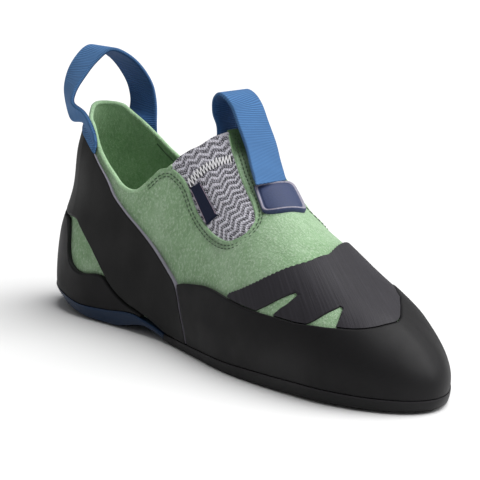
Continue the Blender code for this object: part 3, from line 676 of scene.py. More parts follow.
def tube_mesh(line, radius, sides, up=None):
    """Points and faces of a tube along a line, with flat ends."""
    along = unit(np.gradient(line, axis=0))
    side = np.cross(along, np.array([0.0, 0.0, 1.0]) if up is None else up)
    weak = np.linalg.norm(side, axis=1) < 0.1
    side[weak] = np.cross(along[weak], [0.0, 1.0, 0.0])
    side = unit(side)
    top = np.cross(side, along)
    angle = np.linspace(0, 2 * np.pi, sides, endpoint=False)[:, None]
    ring = side[:, None] * np.cos(angle) + top[:, None] * np.sin(angle)
    radius = np.broadcast_to(radius, len(line))[:, None, None]
    points = (line[:, None] + ring * radius).reshape(-1, 3)
    faces = []
    for i in range(0, (len(line) - 1) * sides, sides):
        for j in range(sides):
            k = (j + 1) % sides
            faces.append([i + k, i + j, i + sides + j, i + sides + k])
    faces.append(list(range(sides)))
    faces.append(list(range(len(line) * sides - 1, (len(line) - 1) * sides - 1, -1)))
    return points, faces


def tubes(name, lines, radius, slot, sides=8, ups=None):
    """One piece of many tubes, such as a row of stitches. radius is one, or a list for each."""
    points, faces, start = [], [], 0
    for n, line in enumerate(lines):
        size = radius if np.isscalar(radius) else radius[n]
        found, corners = tube_mesh(line, size, sides, None if ups is None else ups[n])
        points.append(found)
        faces.extend([[c + start for c in face] for face in corners])
        start += len(found)
    return make_piece(name, np.concatenate(points), faces, [slot])


def stitches(name, line, outward, slot):
    """Row of sewn stitches along a line on a surface, with the outward direction at each point."""
    both = np.concatenate([line, outward], axis=1)
    at = run_of(line)
    lines, ups = [], []
    start = 0.0
    rise = (np.sin(np.linspace(0, np.pi, 6)) * 1.1 - 0.45) * STITCH_RADIUS
    while start + STITCH_LENGTH < at[-1]:
        steps = np.linspace(start, start + STITCH_LENGTH, 6)
        found = np.stack([np.interp(steps, at, values) for values in both.T], -1)
        lines.append(found[:, :3] + found[:, 3:] * rise[:, None])
        ups.append(found[:, 3:].mean(axis=0))
        start += STITCH_LENGTH + STITCH_GAP
    radii = [STITCH_RADIUS * np.array([0.5, 0.9, 1.0, 1.0, 0.9, 0.5])] * len(lines)
    return tubes(name, lines, radii, slot, 6, ups)


def facing(stations, girths):
    """Outward directions of the upper's surface."""
    step = 0.004
    along = surface(stations + step, girths) - surface(stations - step, girths)
    up = surface(stations, np.minimum(girths + step, 1)) - surface(stations, girths - step)
    normal = unit(np.cross(along, up))
    away = surface(stations, girths, MM) - surface(stations, girths)
    return normal * np.sign((normal * away).sum(axis=-1))[..., None]


# Materials
MADE = {}


def dimmed(colour, share, plus=0.0):
    return tuple(c * share + plus for c in colour)


class Shader:
    """Node tree of one material, with short calls for the nodes it needs."""

    def __init__(self, name, roughness, **constants):
        self.material = bpy.data.materials.new(name)
        self.material.use_nodes = True
        self.tree = self.material.node_tree
        self.bsdf = self.tree.nodes["Principled BSDF"]
        for key, value in {"Roughness": roughness, **constants}.items():
            self.bsdf.inputs[key.replace("_", " ")].default_value = value
        self.where = self.new("TexCoord")
        MADE[name] = self.material

    def new(self, kind):
        return self.tree.nodes.new("ShaderNode" + kind)

    def set(self, socket, value):
        if isinstance(value, bpy.types.NodeSocket):
            self.tree.links.new(value, socket)
        else:
            socket.default_value = (*value, 1.0) if isinstance(value, tuple) else value

    def node(self, kind, **inputs):
        made = self.new(kind)
        for key, value in inputs.items():
            self.set(made.inputs[key], value)
        return made.outputs[0]

    def math(self, operation, a, b=0.0):
        made = self.new("Math")
        made.operation = operation
        self.set(made.inputs[0], a)
        self.set(made.inputs[1], b)
        return made.outputs[0]

    def times(self, a, b):
        return self.math("MULTIPLY", a, b)

    def plus(self, a, b):
        return self.math("ADD", a, b)

    def wave(self, value, length):
        """Sine from -1 to 1 of a value, with its wavelength."""
        return self.math("SINE", self.times(value, 2 * np.pi / length))

    def raised(self, wave):
        """A wave brought to 0 to 1."""
        return self.times(self.plus(wave, 1.0), 0.5)

    def noise(self, scale, detail=4.0, rough=0.55, stretch=(1, 1, 1), turn=0.0):
        """Noise in object space. turn is in degrees about Z; stretch is along the turned axes."""
        place = self.node("Mapping", Vector=self.where.outputs["Object"])
        mapping = place.node
        mapping.vector_type = "TEXTURE"
        mapping.inputs["Rotation"].default_value = (0.0, 0.0, np.radians(turn))
        mapping.inputs["Scale"].default_value = [1 / k for k in stretch]
        return self.node("TexNoise", Vector=place, Scale=scale, Detail=detail, Roughness=rough)

    def step(self, value, low, high, start=0.0, end=1.0):
        """Soft step from start to end where the value goes from low to high."""
        made = self.new("MapRange")
        made.interpolation_type = "SMOOTHSTEP"
        self.set(made.inputs["Value"], value)
        numbers = (("From Min", low), ("From Max", high), ("To Min", start), ("To Max", end))
        for key, number in numbers:
            made.inputs[key].default_value = number
        return made.outputs[0]

    def near(self, centre, reach):
        """1 at a place, falling softly to 0 at a distance, both in mm."""
        scale = [1 / (k * MM) for k in reach]
        shift = [-c * MM * k for c, k in zip(centre, scale)]
        where = self.where.outputs["Object"]
        place = self.node("Mapping", Vector=where, Scale=scale, Location=shift)
        made = self.new("VectorMath")
        made.operation = "LENGTH"
        self.set(made.inputs[0], place)
        return self.step(made.outputs["Value"], 1.0, 0.55)

    def mix(self, share, a, b):
        made = self.new("Mix")
        made.data_type = "RGBA"
        self.set(made.inputs[0], share)
        colours = [s for s in made.inputs if s.type == "RGBA"]
        for socket, value in zip(colours, (a, b)):
            self.set(socket, value)
        return next(s for s in made.outputs if s.type == "RGBA")

    def darker(self, mask, strength, base, colour):
        """The base changed to another colour under a mask, by a strength."""
        return self.mix(self.times(mask, strength), base, colour)

    def uv(self):
        made = self.node("SeparateXYZ", Vector=self.where.outputs["UV"]).node
        return made.outputs[0], made.outputs[1]

    def colour(self, value):
        self.set(self.bsdf.inputs["Base Color"], value)

    def rough(self, value):
        self.set(self.bsdf.inputs["Roughness"], value)

    def bump(self, *layers):
        """Layers of (height, strength, distance)."""
        normal = None
        for height, strength, distance in layers:
            made = self.new("Bump")
            self.set(made.inputs["Height"], height)
            made.inputs["Strength"].default_value = strength
            made.inputs["Distance"].default_value = distance
            if normal is not None:
                self.tree.links.new(normal, made.inputs["Normal"])
            normal = made.outputs[0]
        self.tree.links.new(normal, self.bsdf.inputs["Normal"])


def make_suede(name, low, high, worn, shade=None):
    """Suede with soft patches and nap. The last argument is the colour of a soft patch at the
    throat: the darker perforated tongue, with painted shadow under the front loop.
    """
    s = Shader(name, 0.92, Sheen_Weight=0.22, Sheen_Roughness=0.5, Specular_IOR_Level=0.15)
    s.bsdf.inputs["Sheen Tint"].default_value = (0.90, 1.0, 0.88, 1.0)
    broad = s.noise(38, 3, 0.6)
    rubbed = s.noise(170, 5, 0.72, (1, 1.6, 0.8))
    nap = s.noise(900, 5, 0.7, (1, 1.4, 0.7))
    fine = s.noise(3800, 3, 0.6)
    base = s.mix(s.step(broad, 0.36, 0.66), low, high)
    base = s.darker(s.step(rubbed, 0.55, 0.35), 0.35, base, dimmed(low, 0.66))
    base = s.darker(s.step(nap, 0.46, 0.66), 0.48, base, worn)
    base = s.darker(s.step(fine, 0.54, 0.38), 0.36, base, dimmed(low, 0.45))
    if shade is not None:
        # Soft patch round the throat: the perforated tongue's darker colour, and painted shadow
        # cast there by the front loop
        tongue = s.near((64, 2, 86), (21, 15, 17))
        holes = s.node("TexVoronoi", Vector=s.where.outputs["Object"], Scale=900.0)
        pin = s.times(s.step(holes, 0.34, 0.18), tongue)
        base = s.mix(tongue, base, shade)
        base = s.darker(pin, 0.75, base, dimmed(shade, 0.3))
    s.colour(base)
    s.bump((nap, 0.55, 0.0011), (fine, 0.40, 0.0003))


def make_rubber(name, base, edge, roughness, edge_width=0.55, lines=None):
    """Rubber with its edge in another colour. u of the UV map is the distance from it in mm."""
    s = Shader(name, roughness, Specular_IOR_Level=0.22)
    broad = s.noise(24, 4, 0.6)
    fine = s.noise(900, 4, 0.65)
    dust = s.step(s.noise(150, 6, 0.7), 0.60, 0.78)
    colour = s.darker(dust, 0.30, base, dimmed(base, 2.2, 0.003))
    colour = s.mix(s.step(s.uv()[0], edge_width, edge_width * 0.55), colour, edge)
    s.rough(s.step(broad, 0.3, 0.7, roughness - 0.09, roughness + 0.09))
    layers = [(fine, 0.16, 0.00025)]
    if lines is not None:
        streak = s.noise(*lines)
        colour = s.mix(s.step(streak, 0.45, 0.72, 0.0, 0.30), colour, dimmed(base, 2.0))
        colour = s.mix(s.step(streak, 0.42, 0.30, 0.0, 0.5), colour, dimmed(base, 0.5))
        layers.append((streak, 0.35, 0.0003))
    s.colour(colour)
    s.bump(*layers)


def make_knit():
    """Zigzag bands of dark dashes on a light ground. The UV map is in millimetres."""
    s = Shader("knit", 0.9, Sheen_Weight=0.1, Specular_IOR_Level=0.15)
    u, v = s.uv()
    wobble = s.times(s.plus(s.noise(380, 4, 0.65), -0.5), 2.6)
    zigzag = s.math("PINGPONG", s.plus(v, wobble), 3.2)
    across = s.plus(u, s.times(zigzag, 0.78))
    band = s.math("FRACT", s.math("DIVIDE", across, 3.5))
    dark = s.step(s.math("ABSOLUTE", s.plus(band, -0.5)), 0.37, 0.25)
    wale, row = s.wave(v, 0.95), s.wave(across, 0.875)
    dots = s.step(s.plus(wale, row), -0.95, -0.1)
    patchy = s.step(s.noise(1300, 3, 0.7), 0.34, 0.50, 0.35, 1.0)
    mask = s.times(s.times(dark, s.plus(s.times(dots, 0.94), 0.06)), patchy)
    specks = s.step(s.noise(1500, 2), 0.56, 0.68)
    loops = s.raised(wale)
    ground = s.mix(loops, (0.50, 0.49, 0.55), (0.74, 0.72, 0.80))
    ground = s.darker(specks, 0.55, ground, (0.10, 0.095, 0.12))
    s.colour(s.mix(mask, ground, (0.014, 0.013, 0.019)))
    height = s.plus(s.plus(s.times(loops, 0.7), s.times(row, 0.2)), s.times(mask, -0.6))
    s.bump((height, 0.8, 0.0004), (s.noise(5200, 2), 0.25, 0.0001))


def make_webbing(name, light):
    """Ribbed tape. The UV map is in millimetres, u along the tape and v across."""
    s = Shader(name, 0.80, Sheen_Weight=0.04, Specular_IOR_Level=0.20)
    u, v = s.uv()
    ribs, picks = s.raised(s.wave(u, 0.86)), s.raised(s.wave(v, 0.50))
    lit = s.mix(s.step(s.noise(60, 3), 0.3, 0.7), dimmed(light, 0.86), light)
    colour = s.mix(ribs, dimmed(light, 0.58), lit)
    edge = s.step(s.math("ABSOLUTE", v), 7.4, 7.9)
    s.colour(s.darker(edge, 0.5, colour, dimmed(light, 0.4)))
    s.bump((ribs, 0.9, 0.00022), (picks, 0.35, 0.0001), (s.noise(6000, 2), 0.2, 0.00008))


def make_badge(name, base, light, scale):
    s = Shader(name, 0.58, Specular_IOR_Level=0.30)
    grain = s.noise(scale, 3, 0.6)
    s.colour(s.mix(s.step(grain, 0.40, 0.62), base, light))
    s.rough(s.step(grain, 0.3, 0.7, 0.48, 0.66))
    s.bump((grain, 0.35, 0.0002))


def make_thread(name, low, high):
    s = Shader(name, 0.75, Sheen_Weight=0.3)
    s.colour(s.mix(s.noise(2600, 2), low, high))
    s.bump((s.noise(4200, 2), 0.5, 0.0001))


def make_label():
    """Woven label. The UV map is in millimetres from the label's middle."""
    s = Shader("label", 0.90, Specular_IOR_Level=0.15)
    u, v = s.uv()
    weave = s.times(s.wave(u, 0.34), s.wave(v, 0.34))
    s.colour(s.mix(s.step(weave, -0.6, 0.6), (0.0075, 0.0105, 0.026), (0.016, 0.021, 0.046)))
    s.bump((weave, 0.6, 0.00012))


def make_materials():
    # The suede's last colour is the throat patch: darker perforated tongue and painted shadow under
    # the front loop
    make_suede("suede", (0.220, 0.370, 0.196), (0.305, 0.455, 0.280), (0.56, 0.69, 0.53),
               (0.085, 0.170, 0.070))
    # Lighter copy of the suede for rounded and cut edges: painted highlight
    make_suede("suede_edge_highlight", (0.290, 0.460, 0.260), (0.360, 0.550, 0.330), (0.52, 0.70, 0.48))
    make_suede("lining", (0.220, 0.380, 0.195), (0.300, 0.480, 0.270), (0.40, 0.58, 0.36))
    make_rubber("rubber", (0.0052, 0.0049, 0.0056), (0.012, 0.012, 0.013), 0.62)
    make_rubber("sling", (0.0050, 0.0050, 0.0052), (0.200, 0.190, 0.230), 0.62, edge_width=0.38)
    make_rubber("sole", (0.0080, 0.0080, 0.0085), (0.014, 0.013, 0.015), 0.58)
    make_rubber("patch", (0.022, 0.0205, 0.025), (0.010, 0.009, 0.012), 0.60,
                lines=(1500, 3, 0.6, (0.02, 1.0, 0.02), -25))
    make_rubber("blue", (0.0028, 0.0165, 0.0470), (0.004, 0.020, 0.055), 0.46)
    make_knit()
    make_webbing("webbing", (0.070, 0.190, 0.415))
    # Darker copy of the same tape for its back face: painted shadow
    make_webbing("webbing_shaded_back", (0.022, 0.085, 0.235))
    make_badge("badge", (0.024, 0.036, 0.090), (0.034, 0.048, 0.112), 1500)
    make_badge("badge_rim", (0.19, 0.18, 0.23), (0.26, 0.25, 0.31), 900)
    make_thread("thread_green", (0.022, 0.052, 0.020), (0.050, 0.105, 0.045))
    make_thread("thread_white", (0.62, 0.61, 0.63), (0.88, 0.87, 0.88))
    # The dark zigzag line is painted shadow beside the white thread, not a second thread
    make_thread("thread_dark", (0.012, 0.012, 0.016), (0.035, 0.032, 0.040))
    make_thread("label_thread", (0.20, 0.14, 0.19), (0.34, 0.26, 0.32))
    make_label()


# Upper, gores and what is on them
def gore_line(side, count):
    """Stations and girths of a gore's edge, from the rim low along it, round the tip and back."""
    x = np.concatenate([column(GORE, "x_low")[::-1], column(GORE, "x_up")])
    girths = np.concatenate([column(GORE, "low")[::-1], column(GORE, SIDES[side])])
    at = run_of(surface(station(x, side), girths))
    steps = np.linspace(0, at[-1], count)
    return station(smooth(at, x, steps), side), smooth(at, girths, steps)


def seam_line(side, count=200):
    """The gore's edge led on along the collar behind it, with its corner rounded."""
    rim = station(np.linspace(SEAM_START, GORE_REAR, 30)[:-1], side)
    stations, girths = gore_line(side, 170)
    stations, girths = np.concatenate([rim, stations]), np.concatenate([rim_girth(rim), girths])
    at = run_of(surface(stations, girths))
    steps = np.linspace(0, at[-1], count)
    stations, girths = np.interp(steps, at, stations), np.interp(steps, at, girths)
    soften(stations, 24)
    soften(girths, 24)
    return stations, girths


def gore_heights(side):
    """Lower and upper edge of a gore as functions of x, read from its smooth edge, and its tip."""
    stations, girths = gore_line(side, 900)
    x = start_of(stations)
    tip = int(np.argmax(x))
    low = np.maximum.accumulate(x[: tip + 1]), girths[: tip + 1]
    up = np.maximum.accumulate(x[tip:][::-1]), girths[tip:][::-1]
    return low, up, x[tip], girths[tip]


def crease(points):
    """How far soft folds and the sewn edge move the suede out, at points of its surface."""
    flat = points.reshape(-1, 3)
    out = np.zeros(len(flat))
    for place, reach, depth in CREASES:
        away = (flat + HEEL_SPOT - np.array(place) * MM) / (np.array(reach) * MM)
        out += depth * MM * np.exp(-(away**2).sum(axis=1))
    for side in SIDES:
        edge = surface(*seam_line(side, 150))
        chunks = [nearest(flat[i : i + 4000], edge) for i in range(0, len(flat), 4000)]
        out += relief(np.concatenate(chunks), SEAM_RELIEF)
    return out.reshape(points.shape[:2])


def half_upper(side):
    """Stations and girths of one side of the upper, and which of its faces are left open."""
    low, up, tip, tip_girth = gore_heights(side)
    x = np.concatenate([
        spread(HEEL_END, RIM[1][0], 10), np.linspace(RIM[1][0], GORE_REAR, 76),
        np.linspace(GORE_REAR, GORE_TOP, 24), np.linspace(GORE_TOP, THROAT, 5),
        np.linspace(THROAT, tip - 0.012, 46), tip - np.linspace(0.012, 0, 16),
        tip + np.linspace(0.002, 0.02, 8), np.linspace(tip + 0.025, 0.80, 38),
        spread(0.80, TOE_END, 40),
    ])
    x = np.unique(np.round(x, 6))
    stations = station(x, side)
    rim = rim_girth(stations)
    beyond = np.clip((x - tip) / LINE_REACH, 0, 1)
    middle = tip_girth * (1 - beyond) + LINE_GIRTH * beyond
    first = np.where(x < GORE_REAR, rim, np.where(x < tip, np.interp(x, *low), middle))
    in_strip = x > GORE_TOP - TINY
    second = np.where(x < tip, np.interp(x, *up), middle)
    second = np.where(in_strip, np.minimum(second, rim), first)
    top = np.where(in_strip, rim, first)
    lower = first[:, None] * dense_ends(54, 0.6)
    upper = rows_between([second], [top], dense_ends(30, 0.5))[0]
    girths = np.hstack([lower, upper])
    gap = np.zeros((len(x) - 1, girths.shape[1] - 1), bool)
    gap[:, lower.shape[1] - 1] = True
    gap[:, lower.shape[1] :] |= ~in_strip[:-1, None]
    return np.repeat(stations[:, None], girths.shape[1], axis=1), girths, gap


def add_upper():
    """Suede upper whose mesh follows the gores' edges, with a lining on its inner side."""
    medial, lateral = half_upper(-1), half_upper(1)
    grid = [np.concatenate([medial[k][::-1], lateral[k][1:]]) for k in range(2)]
    holes = np.concatenate([medial[2][::-1], lateral[2]])
    out = crease(surface(*grid))
    # Its cut walls take the lighter edge suede, a painted highlight
    sheet("suede_upper", grid, -UPPER_WALL, out, ["suede", "lining", "suede_edge_highlight"],
          nodes=["upper"], holes=holes, back_slot=1, wall_slot=2)


def gore_sheet(side):
    """Grid of a gore: rows from its lower to its upper edge."""
    low, up, tip, _ = gore_heights(side)
    share = np.linspace(0, 1, 90)
    reach = tip - 0.0004
    edges = []
    for end, table in ((GORE_REAR, low), (GORE_TOP, up)):
        x = reach - (reach - end) * share**1.4
        edges.append((station(x, side), np.interp(x, *table)))
    stations, girths = rows_between(*edges, np.linspace(0, 1, 71))
    bend = rim_girth(stations[-1]) - girths[-1]
    return stations, girths + bend * share[:, None] ** 3


def add_gore(side):
    """Knit gore with its rolled rim, the suede's edge round it and two rows of stitches."""
    name = SIDES[side]
    grid = stations, girths = gore_sheet(side)
    middle = surface(*grid)
    along, across = run_of(middle[:, 35])[:, None], run_of(middle, 1)
    uv = np.stack(np.broadcast_arrays(along, across - across[:, -1:] / 2), -1) / MM
    puff = 0.35 * MM * np.sin(np.clip(to_border(middle) / (9 * MM), 0, 1) * np.pi / 2)
    back = -KNIT_RECESS - KNIT_WALL
    sheet("knit_" + name, grid, back, puff - KNIT_RECESS, ["knit"], uv, nodes=["gore_" + name])
    rim = surface(stations[-1], girths[-1], -KNIT_RECESS - KNIT_WALL / 2)
    tubes("knit_rim_" + name, [rim], 0.75 * MM, "knit")
    line = gore_line(side, 260)
    edge = (surface(*line) - facing(*line) * 0.5 * MM)[5:-5]
    # The bead takes the lighter edge suede, a painted highlight
    tubes("gore_edge_" + name, [edge], 0.62 * MM, "suede_edge_highlight")
    centre = surface(*[np.array([a[45].mean()]) for a in grid])[0]
    seam = seam_line(side)
    points, normal = surface(*seam), facing(*seam)
    sideways = np.cross(unit(np.gradient(points, axis=0)), normal)
    sideways *= -np.sign(((centre - points) * sideways)[60:].sum(axis=1).mean())
    for n, (offset, depth) in enumerate(STITCH_ROWS):
        row = points + sideways * offset * MM - normal * depth * MM
        stitches("gore_stitches_%s_%d" % (name, n), row[:-7], normal[:-7], "thread_green")


def add_zigzag(side):
    """Zigzag stitch across a gore: a white thread, and a dark line beside it that is painted
    shadow.
    """
    share = np.linspace(0, 1, 60)
    (x, girth), (x_end, girth_end) = ZIGZAG[side]
    seam = station(x + (x_end - x) * share, side), girth + (girth_end - girth) * share
    line, normal = surface(*seam, 0.12 * MM), facing(*seam)
    s = np.linspace(0.01, 0.99, 2 * int(run_of(line)[-1] / ZIGZAG_PITCH) + 1)
    at, up = [np.stack([np.interp(s, share, v) for v in field.T], -1) for field in (line, normal)]
    along = unit(np.gradient(at, axis=0))
    sideways = np.cross(along, up)
    k = np.linspace(0, 1, 7)[:, None]
    for thread, shift, half, height in ZIGZAG_THREAD_AND_SHADOW:
        jitter = RNG.uniform(0.85, 1.1, len(s))
        swing = np.where(np.arange(len(s)) % 2 == 0, 1, -1) * half * MM * jitter
        path = at + sideways * swing[:, None] + along * shift * MM
        rise = np.sin(k * np.pi) * 0.25 * MM + height * MM
        lines = [a * (1 - k) + b * k + u * rise for a, b, u in zip(path, path[1:], up)]
        name = "zigzag_%s_%s" % (SIDES[side], thread)
        tubes(name, lines, 0.24 * MM, "thread_" + thread, 6, up)


def add_label():
    """Woven label on the medial gore, with a thread along both long edges."""
    names = ("low", "up")
    edges = [(station(column(LABEL, "x_" + name), -1), column(LABEL, name)) for name in names]
    edges = even_columns(*edges, 40)
    middles = np.sin(np.linspace(0, np.pi, 40))
    edges = [(edge[0] - LABEL_SHIFT[name] * middles, edge[1]) for name, edge in zip(names, edges)]
    grid = rows_between(*edges, dense_ends(26, 0.5))
    middle = surface(*grid)
    edge = to_border(middle, first=True, last=True)
    under = CLEARANCE - KNIT_RECESS
    out = under + 0.25 * MM + LABEL_THICKNESS * rounded(edge, 0.5 * MM, 0.2)
    along = run_of(middle[:, 13])[:, None]
    width = np.linalg.norm(middle[:, -1] - middle[:, 0], axis=1)[:, None]
    across = np.linspace(-0.5, 0.5, 26) * width
    uv = np.stack(np.broadcast_arrays(along - along[-1] / 2, across), -1) / MM
    sheet("side_tag", grid, under - 0.3 * MM, out, ["label"], uv, nodes=["side_label"])
    rows = surface(*grid, out)[2:-2]
    tubes("tag_border", [rows[:, 2], rows[:, -3]], 0.13 * MM, "label_thread", 6)


def add_rim_beads():
    """Rounded collar edge, from gore to gore round the heel, and over the strip at the throat."""
    def rim_line(stations):
        return surface(stations, rim_girth(stations), -0.5 * UPPER_WALL + 0.1 * MM)

    x = np.linspace(RIM[1][0], GORE_REAR + 0.004, 120)[1:]
    collar = rim_line(round_heel(np.concatenate([spread(HEEL_END, RIM[1][0], 12), x])))
    # The collar's bead takes the lighter edge suede, a painted highlight
    tubes("collar_edge", [even(collar, 0.8 * MM)], 1.0 * MM, "suede_edge_highlight", 10)
    stations = station(np.linspace(0.17, GORE_REAR, 60), 1)
    girths = rim_girth(stations)
    girths = girths - girth_step(stations, girths, 3 * MM)
    seam = surface(stations, girths, -UPPER_WALL - 0.05 * MM)
    tubes("collar_seam", [seam], 0.33 * MM, "thread_green", 6)
    medial, lateral = [rim_line(station(np.linspace(GORE_TOP, THROAT, 14), side)) for side in SIDES]
    throat = even(np.concatenate([medial, lateral[::-1][1:]]), 0.6 * MM)
    # The throat's bead takes the plain suede, so the throat patch darkens it: perforated tongue
    # colour and painted shadow under the front loop
    tubes("throat_edge", [throat], 1.15 * MM, "suede", 10)


# Rubber
def rubber_uv(distance, grid):
    """UV map with the distance from the border in mm as u."""
    along = run_of(grid[:, grid.shape[1] // 2])[:, None]
    return np.stack(np.broadcast_arrays(distance, along), -1) / MM


def rubber_band(name, grid, slot, node, borders, radius=0.9 * MM, shown=None):
    """Band of rubber, rounded at its borders. shown are those that get the edge's colour."""
    middle = surface(*grid)
    out = CLEARANCE + RUBBER_THICKNESS * rounded(to_border(middle, *borders), radius)
    uv = rubber_uv(to_border(middle, *(shown or borders)), middle)
    sheet(name, grid, 0.0, out, [slot], uv, nodes=[node])


def add_sling():
    edges = []
    for edge in ("back", "front"):
        x, girth = column(SLING, "x_" + edge), column(SLING, edge)
        stations = np.concatenate([station(x, -1), station(x[-2::-1], 1)])
        edges.append((stations, np.concatenate([girth, girth[-2::-1]])))
    grid = rows_between(*even_columns(*edges, 420), dense_ends(40, FINE_ENDS))
    rubber_band("sling", grid, "sling", "sling_strap", (True, True), 0.8 * MM, (False, True))


def add_heel_rubber():
    stations = round_heel(column(HEEL_RUBBER, "x"))
    top = column(HEEL_RUBBER, "girth")
    top = np.concatenate([top[::-1], top[1:]])
    edges = even_columns((stations, np.zeros(len(stations))), (stations, top), 260)
    grid = rows_between(*edges, dense_ends(30, FINE_ENDS))
    rubber_band("heel_wrap", grid, "rubber", "heel_rubber", (False, True))


def add_rand():
    """Toe rand, whose two ends run beside the sling's front edge."""
    beside = 1.5 * CLEARANCE / LENGTH
    low = round_toe(spread(SLING[1][0] + beside, TOE_END, 150))
    up = round_toe(spread(RAND_TOP[1][0] + beside, TOE_END, 150))
    edges = (low, np.zeros(len(low))), (up, by_side(RAND_TOP, up))
    stations, girths = rows_between(*edges, dense_ends(40, FINE_ENDS))
    fade = np.linspace(1, 0, len(low))[:, None] ** 8
    for end, side, weight in ((0, -1, fade), (-1, 1, fade[::-1])):
        x = np.interp(girths[end], column(SLING, "front"), column(SLING, "x_front")) + beside
        stations = stations + weight * (station(x, side) - stations[end])
    borders = (False, True, True, True)
    rubber_band("rand", (stations, girths), "rubber", "toe_rand", borders, 1.1 * MM)


def patch_columns(side):
    """Lower and upper edge of the toe patch on one side, from its rear corner to the toe."""
    start = PATCH_START[SIDES[side]]
    x = column(PATCH_REAR, "x")
    x = np.concatenate([[start], x[x > start + 0.01]])
    stations = station(x, side)
    low = over_rand(stations)
    high = low + girth_step(stations, low, PATCH_THICKNESS)
    high = np.maximum(curve(PATCH_REAR, SIDES[side], x), high)
    rear = even_columns((stations, low), (stations, high), 70)
    stations = station(spread(PATCH_CLOSED, TOE_END, 70)[1:], side)
    toe = (stations, over_rand(stations)), (stations, np.ones(len(stations)))
    return [np.hstack(parts) for parts in zip(rear, toe)]


def cut(piece, cutter):
    """Takes the cutter's shape out of a piece and removes the cutter."""
    modifier = piece.modifiers.new(cutter.name, "BOOLEAN")
    modifier.operation, modifier.solver, modifier.object = "DIFFERENCE", "MANIFOLD", cutter
    bpy.context.view_layer.update()
    graph = bpy.context.evaluated_depsgraph_get()
    mesh = bpy.data.meshes.new_from_object(piece.evaluated_get(graph))
    piece.modifiers.clear()
    piece.data = mesh
    bpy.data.objects.remove(cutter, do_unlink=True)


def add_patch():
    """Toe patch with its two openings cut through, and the suede seen in them."""
    sides = patch_columns(-1), patch_columns(1)
    edges = [np.hstack([medial, lateral[:, ::-1]]) for medial, lateral in zip(*sides)]
    grid = rows_between(*edges, dense_ends(36, 0.6))
    middle = surface(*grid)
    rear = middle[:, -1][abs(grid[1][:, -1] - 1) >= TINY][::3]
    distance = nearest(middle.reshape(-1, 3), rear).reshape(middle.shape[:2])
    out = CLEARANCE + PATCH_THICKNESS * rounded(distance, 0.8 * MM)
    uv = rubber_uv(distance + 1.0 * MM, middle)
    patch = sheet("toe_cover", grid, 0.05 * MM, out, ["patch", "rubber"], uv, nodes=["toe_patch"])
    for table, name in ((FIN_REAR, "fin_rear"), (FIN_FRONT, "fin_front")):
        wider = np.linspace(FIN_MARGIN, 0, len(table) - 1)
        rear = station(column(table, "x_rear") - wider, -1), column(table, "rear")
        front = station(column(table, "x_front"), -1), column(table, "front")
        grid = rows_between(*even_columns(rear, front, 30), np.linspace(0, 1, 10))
        sheet("suede_in_" + name, grid, -0.3 * MM, FIN_SUEDE, ["suede"])
        cut(patch, sheet(name, grid, -2 * MM, 5 * MM, ["rubber"]))


# Soles
def add_sole(name, node, stations, thickness, slot):
    """Sole with a rounded side wall that bulges a little."""
    under = np.concatenate([np.linspace(0, 0.9, 10), [0.94, 0.97, 0.99, 1.0]])
    around, share = np.meshgrid(stations, under, indexing="ij")
    spines, edges = spine(around), sole_edge(around)
    plan = spines * (1 - share[..., None]) + edges * share[..., None]
    middle = curve(UNDERSIDE, "middle", plan[..., 0] / LENGTH)
    lift = curve(UNDERSIDE, "lift", start_of(around))
    rise = np.clip((share - FLAT_SHARE) / (1 - FLAT_SHARE), 0, 1) ** 2
    bottom = (middle + lift * rise) * HEEL_HEIGHT
    inward = unit(spines - edges)
    drawn = curve(UNDERSIDE, "drawn_in", start_of(around)) * HEEL_HEIGHT
    lower = plan + inward * (drawn * share**DRAWN_IN_POWER)[..., None]
    top = sole_top(plan, around, share, thickness)
    rows = np.array([0.08, 0.2, 0.4, 0.6, 0.8, 0.93, 1.0])
    low_edge = np.concatenate([lower[:, -1], bottom[:, -1:]], -1)[:, None]
    high_edge = np.concatenate([plan[:, -1], top[:, -1:]], -1)[:, None]
    wall = low_edge * (1 - rows[:, None]) + high_edge * rows[:, None]
    bulge = (np.sin(rows * np.pi).clip(0) ** 0.6 * 0.35 - 0.15) * MM
    wall[..., :2] -= inward[:, -1:, :] * bulge[:, None]
    outer = np.concatenate([np.concatenate([lower, bottom[..., None]], -1), wall], axis=1)
    flat_top = np.concatenate([plan, top[..., None]], -1)
    inset = flat_top[:, -1:].copy()
    inset[..., :2] += inward[:, -1:] * 0.2 * MM
    folded = len(rows) + 1
    inner = np.concatenate([flat_top[:, :-1], np.repeat(inset, folded, axis=1)], axis=1)
    inner[:, -folded:, 2] -= np.linspace(0.25, 0.0, folded) * MM
    height = np.concatenate([np.full(under.shape, 2.0), (1 - rows) * 3.0])
    uv = np.stack([np.broadcast_to(height, outer.shape[:2]), np.zeros(outer.shape[:2])], -1)
    solid(name, inner - HEEL_SPOT, outer - HEEL_SPOT, [slot], uv, nodes=[node])


def add_soles():
    heel = round_heel(spread(HEEL_END, SOLE_SPLIT, 90))
    add_sole("blue_heel_sole", "heel_sole", heel, HEEL_SOLE_THICKNESS, "blue")
    toe = round_toe(spread(SOLE_SPLIT + CLEARANCE / LENGTH, TOE_END, 150))
    add_sole("black_outsole", "outsole", toe, SOLE_THICKNESS, "sole")


